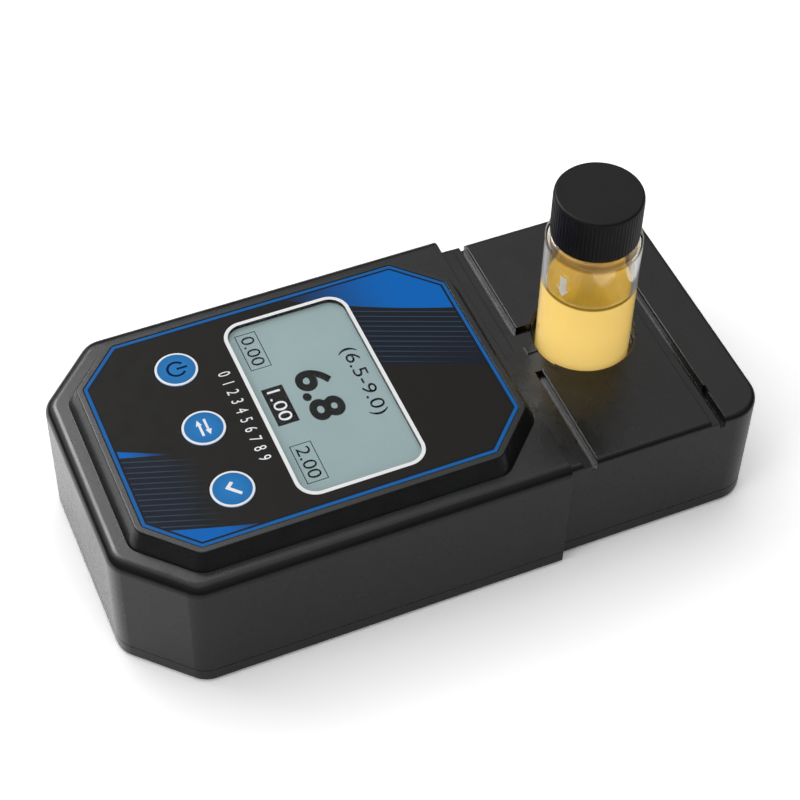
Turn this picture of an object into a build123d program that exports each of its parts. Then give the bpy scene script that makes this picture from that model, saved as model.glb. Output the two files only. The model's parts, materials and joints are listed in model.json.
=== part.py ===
from build123d import *
from math import sqrt
import os

# Portable water quality analyzer, millimetres.
# X runs across the instrument, -Y is the end with the keys, +Y the end with the sample vial, Z is up.
# The origin is the centre of the footprint, on the surface that the feet stand on.

# Case, outside
LENGTH = 173.0
DECK_LENGTH = 57.3
MAIN_WIDTH = 87.5
DECK_STEP = 2.35
MAIN_CHAMFER = 16.8
MAIN_CORNER = 7.0
DECK_CORNER = 9.0
FOOT_DROP = 0.4
SEAM_HEIGHT = 5.1
SEAM_GAP = 0.2
PANEL_HEIGHT = 43.7
PANEL_RISE = 4.9
DECK_DROP = 3.1
TIER_ROUND = 3.0
DECK_ROUND = 1.45
BASE_ROUND = 1.2

# Case, walls
WALL = 2.2
DECK_WALL = 4.0
FLOOR = 2.2
DECK_OVERLAP = 12.0

# How far joined forms reach into one another, cutters run past a face, and screw holes run past the tips
JOIN = 0.5
PAST = 1.0
TIP_ROOM = 0.4

# Raised panel, which widens towards its foot
PANEL_MARGIN = 7.5
PANEL_REAR_MARGIN = 4.1
PANEL_CHAMFER = 12.25
PANEL_CORNER = 3.0
PANEL_SLOPE = 0.51
PANEL_SETBACK = 8.4
PANEL_EDGE_ROUND = 0.35
PANEL_WALL = 2.4

# Front overlay, a printed film in a shallow recess of the panel
OVERLAY_INSET = 1.6
OVERLAY_THICK = 0.3
OVERLAY_SINK = 0.1
OVERLAY_GAP = 0.1

# Display, whose length and place are shares of the panel's length
WINDOW_MARGIN = 5.95
WINDOW_SHARE = 1 / 3
WINDOW_REAR_SHARE = 0.276
WINDOW_CORNER = 5.5
WINDOW_THICK = 0.8
WINDOW_LEDGE = 1.0
WINDOW_GAP = 0.05
DISPLAY_MARGIN = 1.2
DISPLAY_THICK = 2.5
DISPLAY_GAP = 0.1
BACKLIGHT_THICK = 3.0
BACKLIGHT_MARGIN = 1.2
FRAME_WALL = 1.5
FRAME_LIP = 2.0
POCKET_SKIN = 1.0

# Keys and their switches, placed by shares of the panel's width and length
KEY_PITCH_SHARE = 0.287
KEY_FRONT_SHARE = 0.249
KEY_DIAMETER = 11.2
KEY_PROUD = 0.3
KEY_EDGE_ROUND = 0.25
KEY_GAP = 0.2
KEY_TRAVEL = 0.5
KEY_FLANGE = 1.0
KEY_FLANGE_THICK = 1.1
KEY_STEM_DIAMETER = 4.4
SWITCH_SIZE = 6.2
SWITCH_HEIGHT = 3.5
PLUNGER_DIAMETER = 3.4
PLUNGER_RISE = 0.7
PLUNGER_DEPTH = 1.4
PLUNGER_GAP = 0.1

# Main circuit board
BOARD_THICK = 1.6
BOARD_DROP = 9.2
BOARD_SIDE_MARGIN = 7.75
BOARD_REAR_MARGIN = 15.2
BOARD_SETBACK = 24.5
POST_DIAMETER = 6.0
POST_MARGIN = 4.0
BOARD_SCREW_DIAMETER = 2.4
BOARD_SCREW_LENGTH = 6.0
BOARD_HEAD_DIAMETER = 4.4
BOARD_HEAD_THICK = 1.5
HOLE_GAP = 0.1
THREAD_GAP = 0.05
CHIP_GRID = 1.0

# Sample vial, with heights above its own foot
VIAL_RADIUS = 12.5
VIAL_WALL = 1.2
VIAL_FLOOR = 1.6
VIAL_FOOT_ROUND = 1.5
VIAL_FROM_REAR = 33.0
SHOULDER_RISE = 61.05
SHOULDER_ROUND = 1.9
NECK_RADIUS = 9.6
NECK_WALL = 1.4
LIQUID_RISE = 44.45
LIQUID_GAP = 0.02
MENISCUS = 0.7

# Vial cap and its liner
CAP_RADIUS = 11.5
CAP_HEIGHT = 13.2
CAP_GAP = 0.35
CAP_TOP_THICK = 1.5
CAP_WALL_GAP = 0.3
LINER_THICK = 0.8
LINER_GAP = 0.05
RIB_COUNT = 72
RIB_RADIUS = 0.3
RIB_SINK = 0.2
PLAIN_TOP = 1.1
PLAIN_FOOT = 0.8
CAP_EDGE_ROUND = 0.7

# Well that holds the vial
WELL_RADIUS = 13.7
WELL_BORE = 13.0
WELL_WALL = 2.5
WELL_FLOOR = 2.2
WELL_DEPTH = 23.7
WELL_RIM_CHAMFER = 0.4
WELL_FLANGE_WIDTH = 4.5
WELL_FLANGE_THICK = 2.0
GASKET_THICK = 0.5
GASKET_WIDTH = 1.6
GASKET_MARGIN = 0.3
WELL_SCREW_RADIUS = 17.6
WELL_SCREW_DIAMETER = 2.0
WELL_SCREW_LENGTH = 5.0
WELL_HEAD_DIAMETER = 3.6
WELL_HEAD_THICK = 1.2
SEAT_GAP = 0.05

# Optics beside the well
BEAM_RISE = 10.0
OPTIC_BLOCK = 13.0
OPTIC_BLOCK_REACH = 6.5
LAMP_DIAMETER = 5.0
LAMP_LENGTH = 7.6
LAMP_RIM_DIAMETER = 5.8
LAMP_RIM_THICK = 1.0
FILTER_DIAMETER = 8.2
FILTER_THICK = 2.5
DETECTOR_THICK = 3.4
APERTURE_DIAMETER = 4.0
APERTURE_WALL = 3.0
OPTIC_GAP = 0.1
LEAD_DIAMETER = 0.6
LEAD_SPACING = 2.54
LEAD_REACH = 1.5
LEAD_PROUD = 0.8
OPTICS_BOARD_WIDTH = 60.0
OPTICS_BOARD_FRONT = 24.0
OPTICS_BOARD_REAR = 19.0
OPTICS_BOARD_RISE = 1.0
WELL_HOLE_GAP = 0.3
RIBBON_WIDTH = 12.0
RIBBON_THICK = 0.3
RIBBON_BEND = 2.5
RIBBON_DROP_SHARE = 0.55
CONNECTOR_LENGTH = 4.0
CONNECTOR_WIDTH = 15.0
CONNECTOR_HEIGHT = 1.6
CONNECTOR_MARGIN = 1.5

# Slots across the deck, which guide a light shield
SLOT_FROM_STEP = 4.4
SHELF_WIDTH = 2.35
SHELF_DEPTH = 0.9
CHANNEL_WIDTH = 1.55
CHANNEL_DEPTH = 2.6
REAR_SLOT_FROM_REAR = 16.3
BRIDGE_HALF_WIDTH = 7.7
BRANCH_WIDTH = 1.7
INDEX_WIDTH = 2.6
INDEX_HEIGHT = 0.35
INDEX_LENGTH = 4.0
DETENT_X = 30.1
DETENT_WIDTH = 2.4
DETENT_DEPTH = 0.6
REAR_LIP_ROUND = 0.3
FRONT_LIP_ROUND = 0.15

# Battery bay and its door
CELL_COUNT = 4
CELL_DIAMETER = 10.4
CELL_LENGTH = 43.3
CELL_ROUND = 0.5
CELL_PITCH = 11.0
CELL_NUB_DIAMETER = 3.8
CELL_NUB_LENGTH = 1.2
BAY_SIDE_GAP = 1.3
BAY_CEILING_GAP = 0.6
BAY_WALL = 1.3
BAY_LEDGE = 2.0
BAY_ROOF = 1.6
BAY_SETBACK = 28.0
DOOR_THICK = 2.0
DOOR_GAP = 0.3
DOOR_SEAT_GAP = 0.1
DOOR_TO_CELL = 0.5
DOOR_CORNER = 2.0
TAB_WIDTH = 8.0
TAB_X = 14.0
TAB_THICK = 1.2
TAB_REACH = 2.2
TAB_ROOT = 1.8
TAB_SWING = 0.9
TAB_GAP = 0.4
LATCH_WIDTH = 12.0
LATCH_LENGTH = 7.0
LATCH_SLIT = 0.8
GRIP_COUNT = 5
GRIP_PITCH = 2.0
GRIP_WIDTH = 18.0
GRIP_DEPTH = 0.6
GRIP_MARGIN = 10.0
CONTACT_SIZE = 7.0
CONTACT_THICK = 0.4
SPRING_LENGTH = 5.6
SPRING_RADIUS = 2.6
SPRING_WIRE = 0.6
SPRING_TURNS = 2.5

# Case screws, seal and feet
CASE_SCREW_DIAMETER = 3.0
CASE_SCREW_LENGTH = 10.0
CASE_HEAD_DIAMETER = 5.6
CASE_HEAD_THICK = 2.2
CASE_BOSS_DIAMETER = 8.0
CASE_BOSS_HEIGHT = 6.2
CASE_HEAD_DEPTH = 3.2
CASE_HEAD_GAP = 0.3
FRONT_SCREW_SIDE = 10.75
FRONT_SCREW_MARGIN = 16.5
STEP_SCREW_SIDE = 7.25
STEP_SCREW_MARGIN = 9.2
REAR_SCREW_SIDE = 7.9
REAR_SCREW_MARGIN = 9.5
SEAL_WIDTH = 1.0
SEAL_INSET = 0.6
SEAL_DEPTH = 1.0
FOOT_DIAMETER = 9.0
FOOT_RECESS = 1.0
FOOT_GAP = 0.1
FOOT_SIDE = 20.75
FOOT_MARGIN = 9.5
FOOT_EDGE_ROUND = 0.3

# Places that follow from the sizes above
FRONT_Y = -LENGTH / 2
REAR_Y = LENGTH / 2
STEP_Y = REAR_Y - DECK_LENGTH
DECK_WIDTH = MAIN_WIDTH - 2 * DECK_STEP
TIER_HEIGHT = PANEL_HEIGHT - PANEL_RISE
DECK_HEIGHT = TIER_HEIGHT - DECK_DROP
PANEL_WIDTH = MAIN_WIDTH - 2 * PANEL_MARGIN
PANEL_FRONT_Y = FRONT_Y + PANEL_SETBACK
PANEL_REAR_Y = STEP_Y - PANEL_REAR_MARGIN
PANEL_LENGTH = PANEL_REAR_Y - PANEL_FRONT_Y
OVERLAY_TOP = PANEL_HEIGHT - OVERLAY_SINK
OVERLAY_FLOOR = OVERLAY_TOP - OVERLAY_THICK
PANEL_CEILING = PANEL_HEIGHT - WALL
TIER_CEILING = TIER_HEIGHT - WALL
DECK_CEILING = DECK_HEIGHT - DECK_WALL
TOP_RIM = SEAM_HEIGHT + SEAM_GAP / 2
BOTTOM_RIM = SEAM_HEIGHT - SEAM_GAP / 2
FLOOR_TOP = FOOT_DROP + FLOOR

WINDOW_WIDTH = PANEL_WIDTH - 2 * WINDOW_MARGIN
WINDOW_LENGTH = PANEL_LENGTH * WINDOW_SHARE
WINDOW_Y = PANEL_REAR_Y - PANEL_LENGTH * WINDOW_REAR_SHARE - WINDOW_LENGTH / 2
DISPLAY_WIDTH = WINDOW_WIDTH + 2 * DISPLAY_MARGIN
DISPLAY_LENGTH = WINDOW_LENGTH + 2 * DISPLAY_MARGIN
POCKET_CEILING = OVERLAY_FLOOR - POCKET_SKIN
DISPLAY_TOP = POCKET_CEILING - DISPLAY_GAP
DISPLAY_FOOT = DISPLAY_TOP - DISPLAY_THICK
BACKLIGHT_FOOT = DISPLAY_FOOT - BACKLIGHT_THICK
BOARD_TOP = PANEL_HEIGHT - BOARD_DROP
BOARD_FOOT = BOARD_TOP - BOARD_THICK
BOARD_FRONT_Y = FRONT_Y + BOARD_SETBACK
BOARD_REAR_Y = STEP_Y - BOARD_REAR_MARGIN
BOARD_WIDTH = MAIN_WIDTH - 2 * BOARD_SIDE_MARGIN
BOARD_LENGTH = BOARD_REAR_Y - BOARD_FRONT_Y
BOARD_POSTS = [
    (side * (BOARD_WIDTH / 2 - POST_MARGIN), y)
    for side in (-1, 1)
    for y in (BOARD_FRONT_Y + POST_MARGIN, BOARD_REAR_Y - POST_MARGIN)
]

KEY_Y = PANEL_FRONT_Y + PANEL_LENGTH * KEY_FRONT_SHARE
KEY_PITCH = PANEL_WIDTH * KEY_PITCH_SHARE
KEY_PLACES = [(-KEY_PITCH, KEY_Y), (0, KEY_Y), (KEY_PITCH, KEY_Y)]
KEY_TOP = OVERLAY_TOP + KEY_PROUD
FLANGE_TOP = PANEL_CEILING - SEAT_GAP
FLANGE_FOOT = FLANGE_TOP - KEY_FLANGE_THICK
SWITCH_TOP = BOARD_TOP + SWITCH_HEIGHT
PLUNGER_TOP = SWITCH_TOP + PLUNGER_RISE
PLUNGER_FOOT = SWITCH_TOP - PLUNGER_DEPTH

VIAL_Y = REAR_Y - VIAL_FROM_REAR
WELL_FLOOR_HEIGHT = DECK_HEIGHT - WELL_DEPTH
VIAL_FOOT = WELL_FLOOR_HEIGHT + SEAT_GAP
SHOULDER_HEIGHT = VIAL_FOOT + SHOULDER_RISE
LIQUID_HEIGHT = VIAL_FOOT + LIQUID_RISE
CAP_FOOT = SHOULDER_HEIGHT + CAP_GAP
CAP_TOP = CAP_FOOT + CAP_HEIGHT
LINER_TOP = CAP_TOP - CAP_TOP_THICK
LINER_FOOT = LINER_TOP - LINER_THICK
NECK_TOP = LINER_FOOT - LINER_GAP
WELL_OUTER = WELL_BORE + WELL_WALL
WELL_FLANGE_TOP = DECK_CEILING - GASKET_THICK
WELL_FLANGE_FOOT = WELL_FLANGE_TOP - WELL_FLANGE_THICK
WELL_SCREWS = [
    (sx * WELL_SCREW_RADIUS / sqrt(2), VIAL_Y + sy * WELL_SCREW_RADIUS / sqrt(2))
    for sx in (-1, 1)
    for sy in (-1, 1)
]
BEAM_HEIGHT = WELL_FLOOR_HEIGHT + BEAM_RISE
BLOCK_FACE = WELL_OUTER + OPTIC_BLOCK_REACH
FILTER_FACE = WELL_BORE + APERTURE_WALL
OPTICS_BOARD_HEIGHT = WELL_FLOOR_HEIGHT + OPTICS_BOARD_RISE
OPTICS_BOARD_TOP = OPTICS_BOARD_HEIGHT + BOARD_THICK
OPTICS_BOARD_FRONT_Y = VIAL_Y - OPTICS_BOARD_FRONT
OPTICS_BOARD_REAR_Y = VIAL_Y + OPTICS_BOARD_REAR
OPTICS_POSTS = [
    (side * (OPTICS_BOARD_WIDTH / 2 - POST_MARGIN), y)
    for side in (-1, 1)
    for y in (OPTICS_BOARD_FRONT_Y + POST_MARGIN, OPTICS_BOARD_REAR_Y - POST_MARGIN)
]

SHELF_Y = STEP_Y + SLOT_FROM_STEP
REAR_SHELF_Y = REAR_Y - REAR_SLOT_FROM_REAR
SHELF_FLOOR = DECK_HEIGHT - SHELF_DEPTH
CHANNEL_FLOOR = DECK_HEIGHT - CHANNEL_DEPTH

BAY_HALF_WIDTH = ((CELL_COUNT - 1) * CELL_PITCH + CELL_DIAMETER) / 2 + BAY_SIDE_GAP
BAY_FRONT_Y = FRONT_Y + BAY_SETBACK
BAY_REAR_Y = BAY_FRONT_Y + CELL_LENGTH + CELL_NUB_LENGTH + SPRING_LENGTH + 2 * CONTACT_THICK
DOOR_TOP = FOOT_DROP + DOOR_THICK
BAY_FOOT = DOOR_TOP + DOOR_SEAT_GAP
CELL_HEIGHT = DOOR_TOP + DOOR_TO_CELL + CELL_DIAMETER / 2
BAY_CEILING = CELL_HEIGHT + CELL_DIAMETER / 2 + BAY_CEILING_GAP
TAB_FOOT = FLOOR_TOP + SEAT_GAP
TAB_TOP = TAB_FOOT + TAB_THICK
DOOR_HALF_WIDTH = BAY_HALF_WIDTH + BAY_LEDGE - DOOR_GAP
DOOR_FRONT_Y = BAY_FRONT_Y - BAY_LEDGE + DOOR_GAP
DOOR_REAR_Y = BAY_REAR_Y + BAY_LEDGE - DOOR_GAP
CELL_XS = [(number - (CELL_COUNT - 1) / 2) * CELL_PITCH for number in range(CELL_COUNT)]

CASE_SCREWS = [
    (side * x, y)
    for side in (-1, 1)
    for x, y in (
        (MAIN_WIDTH / 2 - FRONT_SCREW_SIDE, FRONT_Y + FRONT_SCREW_MARGIN),
        (MAIN_WIDTH / 2 - STEP_SCREW_SIDE, STEP_Y - STEP_SCREW_MARGIN),
        (DECK_WIDTH / 2 - REAR_SCREW_SIDE, REAR_Y - REAR_SCREW_MARGIN),
    )
]
HEAD_SEAT = FOOT_DROP + CASE_HEAD_DEPTH
FOOT_X = MAIN_WIDTH / 2 - FOOT_SIDE
FEET = [(side * FOOT_X, y) for side in (-1, 1) for y in (FRONT_Y + FOOT_MARGIN, REAR_Y - FOOT_MARGIN)]


def block(x0, x1, y0, y1, z0, z1):
    """A rectangular block between two opposite corners."""
    return Pos((x0 + x1) / 2, (y0 + y1) / 2, (z0 + z1) / 2) * Box(x1 - x0, y1 - y0, z1 - z0)


def rod(radius, x, y, z0, z1):
    """An upright round rod."""
    return Pos(x, y, (z0 + z1) / 2) * Cylinder(radius, z1 - z0)


def bar(radius, x0, x1, y, z):
    """A round rod lying along X."""
    return Pos((x0 + x1) / 2, y, z) * Rot(0, 90, 0) * Cylinder(radius, x1 - x0)


def lay(outline, z0, z1):
    """Extrude a flat outline between two heights."""
    return Pos(0, 0, z0) * extrude(outline, amount=z1 - z0)


def cut_rectangle(half_width, front, rear, front_cut, rear_cut):
    """A rectangle with its corners cut at 45 degrees."""
    points = [(half_width - front_cut, front), (half_width, front + front_cut)]
    if rear_cut:
        points += [(half_width, rear - rear_cut), (half_width - rear_cut, rear)]
        points += [(rear_cut - half_width, rear), (-half_width, rear - rear_cut)]
    else:
        points += [(half_width, rear), (-half_width, rear)]
    points += [(-half_width, front + front_cut), (front_cut - half_width, front)]
    return Polygon(*points, align=None)


def rounded_rectangle(width, length, corner, y):
    """A rectangle with round corners, centred on X and at a given Y."""
    return Pos(0, y) * RectangleRounded(width, length, corner)


def main_outline(inset):
    """Outline of the front part of the case, moved inwards."""
    half = MAIN_WIDTH / 2 - inset
    front = FRONT_Y + inset
    leg = MAIN_CHAMFER - inset * (2 - sqrt(2))
    sharp = cut_rectangle(half, front, STEP_Y - inset, leg, 0)
    corners = sharp.vertices().filter_by_position(Axis.Y, front - PAST, front + leg + PAST)
    return fillet(corners, MAIN_CORNER - inset)


def deck_outline(inset):
    """Outline of the rear part of the case, moved inwards and reaching into the front part."""
    front = STEP_Y - DECK_OVERLAP
    rear = REAR_Y - inset
    sharp = Pos(0, (front + rear) / 2) * Rectangle(DECK_WIDTH - 2 * inset, rear - front)
    return fillet(sharp.vertices().group_by(Axis.Y)[-1], DECK_CORNER - inset)


def case_outline(inset):
    return main_outline(inset) + deck_outline(inset)


def panel_outline(grow):
    """Outline of the raised panel, moved outwards."""
    half = PANEL_WIDTH / 2 + grow
    leg = PANEL_CHAMFER + grow * (2 - sqrt(2))
    sharp = cut_rectangle(half, PANEL_FRONT_Y - grow, PANEL_REAR_Y + grow, leg, leg)
    return fillet(sharp.vertices(), max(PANEL_CORNER + grow, 1.0))


def panel_frustum(inset, z0, z1):
    """The raised panel between two heights, its walls moved inwards."""
    foot = panel_outline((PANEL_HEIGHT - z0) * PANEL_SLOPE - inset).face()
    head = panel_outline((PANEL_HEIGHT - z1) * PANEL_SLOPE - inset).face()
    return loft([Pos(0, 0, z0) * foot, Pos(0, 0, z1) * head], ruled=True)


def edges_at(shape, height):
    return shape.edges().filter_by_position(Axis.Z, height - 0.01, height + 0.01)


def edges_before(edges, y):
    """The edges whose middle lies in front of a given Y."""
    return [edge for edge in edges if edge.center().Y < y]


def edges_behind(edges, y):
    return [edge for edge in edges if edge.center().Y > y]


def case_block(foot, main_top, deck_top, inset):
    """The two-level body of the case between two heights."""
    return lay(main_outline(inset), foot, main_top) + lay(deck_outline(inset), foot, deck_top)


def top_outside():
    """Outer form of the upper half with its rounded edges."""
    main = lay(main_outline(0), TOP_RIM, TIER_HEIGHT)
    main = fillet(edges_before(edges_at(main, TIER_HEIGHT), STEP_Y - PAST), TIER_ROUND)
    deck = lay(deck_outline(0), TOP_RIM, DECK_HEIGHT)
    deck = fillet(edges_behind(edges_at(deck, DECK_HEIGHT), STEP_Y), DECK_ROUND)
    panel = panel_frustum(0, TIER_CEILING, PANEL_HEIGHT)
    panel = fillet(edges_at(panel, PANEL_HEIGHT), PANEL_EDGE_ROUND)
    return main + deck + panel


def top_inside():
    """Room inside the upper half."""
    room = case_block(TOP_RIM, TIER_CEILING, DECK_CEILING, WALL)
    return room + panel_frustum(PANEL_WALL, TIER_CEILING - PAST, PANEL_CEILING)


def lipped_slot(front, rear, floor, x0, x1):
    """Cutter for a slot across the deck, with rounded lips."""
    above = DECK_HEIGHT + PAST
    bend = 1 - sqrt(0.5)
    front_start = (front, DECK_HEIGHT - FRONT_LIP_ROUND)
    front_middle = (front - FRONT_LIP_ROUND * bend, DECK_HEIGHT - FRONT_LIP_ROUND * bend)
    front_end = (front - FRONT_LIP_ROUND, DECK_HEIGHT)
    rear_start = (rear, DECK_HEIGHT - REAR_LIP_ROUND)
    rear_middle = (rear + REAR_LIP_ROUND * bend, DECK_HEIGHT - REAR_LIP_ROUND * bend)
    rear_end = (rear + REAR_LIP_ROUND, DECK_HEIGHT)
    outline = [
        Polyline(front_start, (front, floor), (rear, floor), rear_start),
        ThreePointArc(rear_start, rear_middle, rear_end),
        Polyline(rear_end, (rear_end[0], above), (front_end[0], above), front_end),
        ThreePointArc(front_end, front_middle, front_start),
    ]
    profile = make_face(Curve() + outline)
    return Pos(x0, 0, 0) * extrude(Plane.YZ * profile, amount=x1 - x0)


def deck_slots():
    """Everything that is cut into the deck in front of and behind the well."""
    side = DECK_WIDTH
    channel = SHELF_Y + SHELF_WIDTH
    well_front = VIAL_Y - WELL_RADIUS + 2 * PAST
    branch = -BRIDGE_HALF_WIDTH + BRANCH_WIDTH
    cuts = lipped_slot(SHELF_Y, channel + JOIN, SHELF_FLOOR, -side, side)
    cuts += lipped_slot(channel, channel + CHANNEL_WIDTH, CHANNEL_FLOOR, -side, branch)
    cuts += lipped_slot(channel, channel + CHANNEL_WIDTH, CHANNEL_FLOOR, BRIDGE_HALF_WIDTH, side)
    cuts += block(branch, BRIDGE_HALF_WIDTH, SHELF_Y, well_front, SHELF_FLOOR, DECK_HEIGHT + PAST)
    cuts += block(-BRIDGE_HALF_WIDTH, branch, channel, well_front, CHANNEL_FLOOR, DECK_HEIGHT + PAST)
    rear_channel = REAR_SHELF_Y + SHELF_WIDTH
    cuts += lipped_slot(REAR_SHELF_Y, rear_channel + JOIN, SHELF_FLOOR, -side, side)
    cuts += lipped_slot(rear_channel, rear_channel + CHANNEL_WIDTH, CHANNEL_FLOOR, -side, side)
    detent_rear = rear_channel + CHANNEL_WIDTH + DETENT_DEPTH
    detent_x = (DETENT_X - DETENT_WIDTH / 2, DETENT_X + DETENT_WIDTH / 2)
    cuts += block(*detent_x, rear_channel, detent_rear, CHANNEL_FLOOR, DECK_HEIGHT + PAST)
    return cuts


def index_tab():
    """Small raised mark on the bridge in front of the well."""
    rear = VIAL_Y - WELL_RADIUS + PAST
    foot = SHELF_FLOOR - JOIN
    return block(-INDEX_WIDTH / 2, INDEX_WIDTH / 2, rear - INDEX_LENGTH, rear, foot, SHELF_FLOOR + INDEX_HEIGHT)


def top_housing():
    shell = top_outside() - top_inside()
    for x, y in CASE_SCREWS:
        ceiling = DECK_CEILING if y > STEP_Y else TIER_CEILING
        shell += rod(CASE_BOSS_DIAMETER / 2, x, y, CASE_BOSS_HEIGHT, ceiling + JOIN)
    for x, y in BOARD_POSTS:
        shell += rod(POST_DIAMETER / 2, x, y, BOARD_TOP, PANEL_CEILING + JOIN)
    shell -= deck_slots()
    shell += index_tab()
    shell -= rod(WELL_RADIUS, 0, VIAL_Y, DECK_CEILING - PAST, DECK_HEIGHT + PAST)
    cone_foot = DECK_HEIGHT - WELL_RIM_CHAMFER
    shell -= Pos(0, VIAL_Y, cone_foot + PAST) * Cone(WELL_RADIUS, WELL_RADIUS + 2 * PAST, 2 * PAST)
    for x, y in CASE_SCREWS:
        hole_top = HEAD_SEAT + CASE_SCREW_LENGTH + TIP_ROOM
        shell -= rod(CASE_SCREW_DIAMETER / 2 + THREAD_GAP, x, y, CASE_BOSS_HEIGHT - PAST, hole_top)
    for x, y in BOARD_POSTS:
        hole_top = BOARD_FOOT + BOARD_SCREW_LENGTH + TIP_ROOM
        shell -= rod(BOARD_SCREW_DIAMETER / 2 + THREAD_GAP, x, y, BOARD_TOP - PAST, hole_top)
    for x, y in WELL_SCREWS:
        hole_top = WELL_FLANGE_FOOT + WELL_SCREW_LENGTH + TIP_ROOM
        shell -= rod(WELL_SCREW_DIAMETER / 2 + THREAD_GAP, x, y, DECK_CEILING - PAST, hole_top)
    shell -= lay(panel_outline(-OVERLAY_INSET), OVERLAY_FLOOR, PANEL_HEIGHT + PAST)
    for x, y in KEY_PLACES:
        shell -= rod(KEY_DIAMETER / 2 + KEY_GAP, x, y, PANEL_CEILING - PAST, PANEL_HEIGHT)
    shell -= window_openings()
    return shell


def window_openings():
    """Recess for the lens, the view through it, and the pocket behind it."""
    recess = rounded_rectangle(
        WINDOW_WIDTH + 2 * WINDOW_GAP, WINDOW_LENGTH + 2 * WINDOW_GAP, WINDOW_CORNER + WINDOW_GAP, WINDOW_Y
    )
    view = rounded_rectangle(
        WINDOW_WIDTH - 2 * WINDOW_LEDGE, WINDOW_LENGTH - 2 * WINDOW_LEDGE, WINDOW_CORNER - WINDOW_LEDGE, WINDOW_Y
    )
    reach = 2 * (FRAME_WALL + 3 * DISPLAY_GAP)
    pocket = Pos(0, WINDOW_Y) * Rectangle(DISPLAY_WIDTH + reach, DISPLAY_LENGTH + reach)
    cuts = lay(recess, OVERLAY_TOP - WINDOW_THICK, PANEL_HEIGHT)
    cuts += lay(view, PANEL_CEILING, PANEL_HEIGHT)
    return cuts + lay(pocket, PANEL_CEILING - PAST, POCKET_CEILING)


def bottom_housing():
    main = lay(main_outline(0), FOOT_DROP, BOTTOM_RIM)
    main = fillet(edges_before(edges_at(main, FOOT_DROP), STEP_Y - PAST), BASE_ROUND)
    deck = lay(deck_outline(0), FOOT_DROP, BOTTOM_RIM)
    deck = fillet(edges_behind(edges_at(deck, FOOT_DROP), STEP_Y), BASE_ROUND)
    tray = main + deck - lay(case_outline(WALL), FLOOR_TOP, BOTTOM_RIM)
    tray -= seal_ring(BOTTOM_RIM - SEAL_DEPTH, BOTTOM_RIM)
    for x, y in CASE_SCREWS:
        tray += rod(CASE_BOSS_DIAMETER / 2, x, y, FLOOR_TOP - JOIN, CASE_BOSS_HEIGHT)
        tray -= rod(CASE_SCREW_DIAMETER / 2 + 2 * HOLE_GAP, x, y, FOOT_DROP, CASE_BOSS_HEIGHT)
        tray -= rod(CASE_HEAD_DIAMETER / 2 + CASE_HEAD_GAP, x, y, FOOT_DROP, HEAD_SEAT)
    for x, y in OPTICS_POSTS:
        tray += rod(POST_DIAMETER / 2, x, y, FLOOR_TOP - JOIN, OPTICS_BOARD_HEIGHT)
        hole_foot = OPTICS_BOARD_TOP - BOARD_SCREW_LENGTH - TIP_ROOM
        tray -= rod(BOARD_SCREW_DIAMETER / 2 + THREAD_GAP, x, y, hole_foot, OPTICS_BOARD_HEIGHT)
    for x, y in FEET:
        tray -= rod(FOOT_DIAMETER / 2 + FOOT_GAP, x, y, FOOT_DROP, FOOT_DROP + FOOT_RECESS)
    tray += bay_outside()
    tray -= bay_inside()
    return tray


def bay_outside():
    """Block of the battery bay, with a low bulge in front for the hooks of the door."""
    edge = BAY_LEDGE + BAY_WALL
    half = BAY_HALF_WIDTH + edge
    bay = block(-half, half, BAY_FRONT_Y - edge, BAY_REAR_Y + edge, FOOT_DROP, BAY_CEILING + BAY_ROOF)
    bulge_front = DOOR_FRONT_Y - TAB_REACH - TAB_GAP - BAY_WALL
    bulge_top = TAB_TOP + TAB_SWING + BAY_WALL
    bulge_half = TAB_X + TAB_WIDTH / 2 + DOOR_GAP + BAY_WALL
    return bay + block(-bulge_half, bulge_half, bulge_front, BAY_FRONT_Y, FLOOR_TOP - JOIN, bulge_top)


def bay_inside():
    """Room for the cells, the recess for the door and the pockets for its hooks."""
    room = block(-BAY_HALF_WIDTH, BAY_HALF_WIDTH, BAY_FRONT_Y, BAY_REAR_Y, FOOT_DROP, BAY_CEILING)
    recess_width = 2 * (BAY_HALF_WIDTH + BAY_LEDGE)
    recess_length = BAY_REAR_Y - BAY_FRONT_Y + 2 * BAY_LEDGE
    middle = (BAY_FRONT_Y + BAY_REAR_Y) / 2
    room += lay(rounded_rectangle(recess_width, recess_length, DOOR_CORNER + DOOR_GAP, middle), FOOT_DROP, BAY_FOOT)
    for side in (-1, 1):
        x0 = side * TAB_X - TAB_WIDTH / 2 - DOOR_GAP
        x1 = side * TAB_X + TAB_WIDTH / 2 + DOOR_GAP
        front = DOOR_FRONT_Y - TAB_REACH - TAB_GAP
        pocket_top = TAB_TOP + TAB_SWING
        room += block(x0, x1, front, BAY_FRONT_Y + PAST, FLOOR_TOP, pocket_top)
        room += block(x0, x1, BAY_FRONT_Y - BAY_LEDGE, BAY_FRONT_Y + PAST, FOOT_DROP, pocket_top)
    return room


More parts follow.
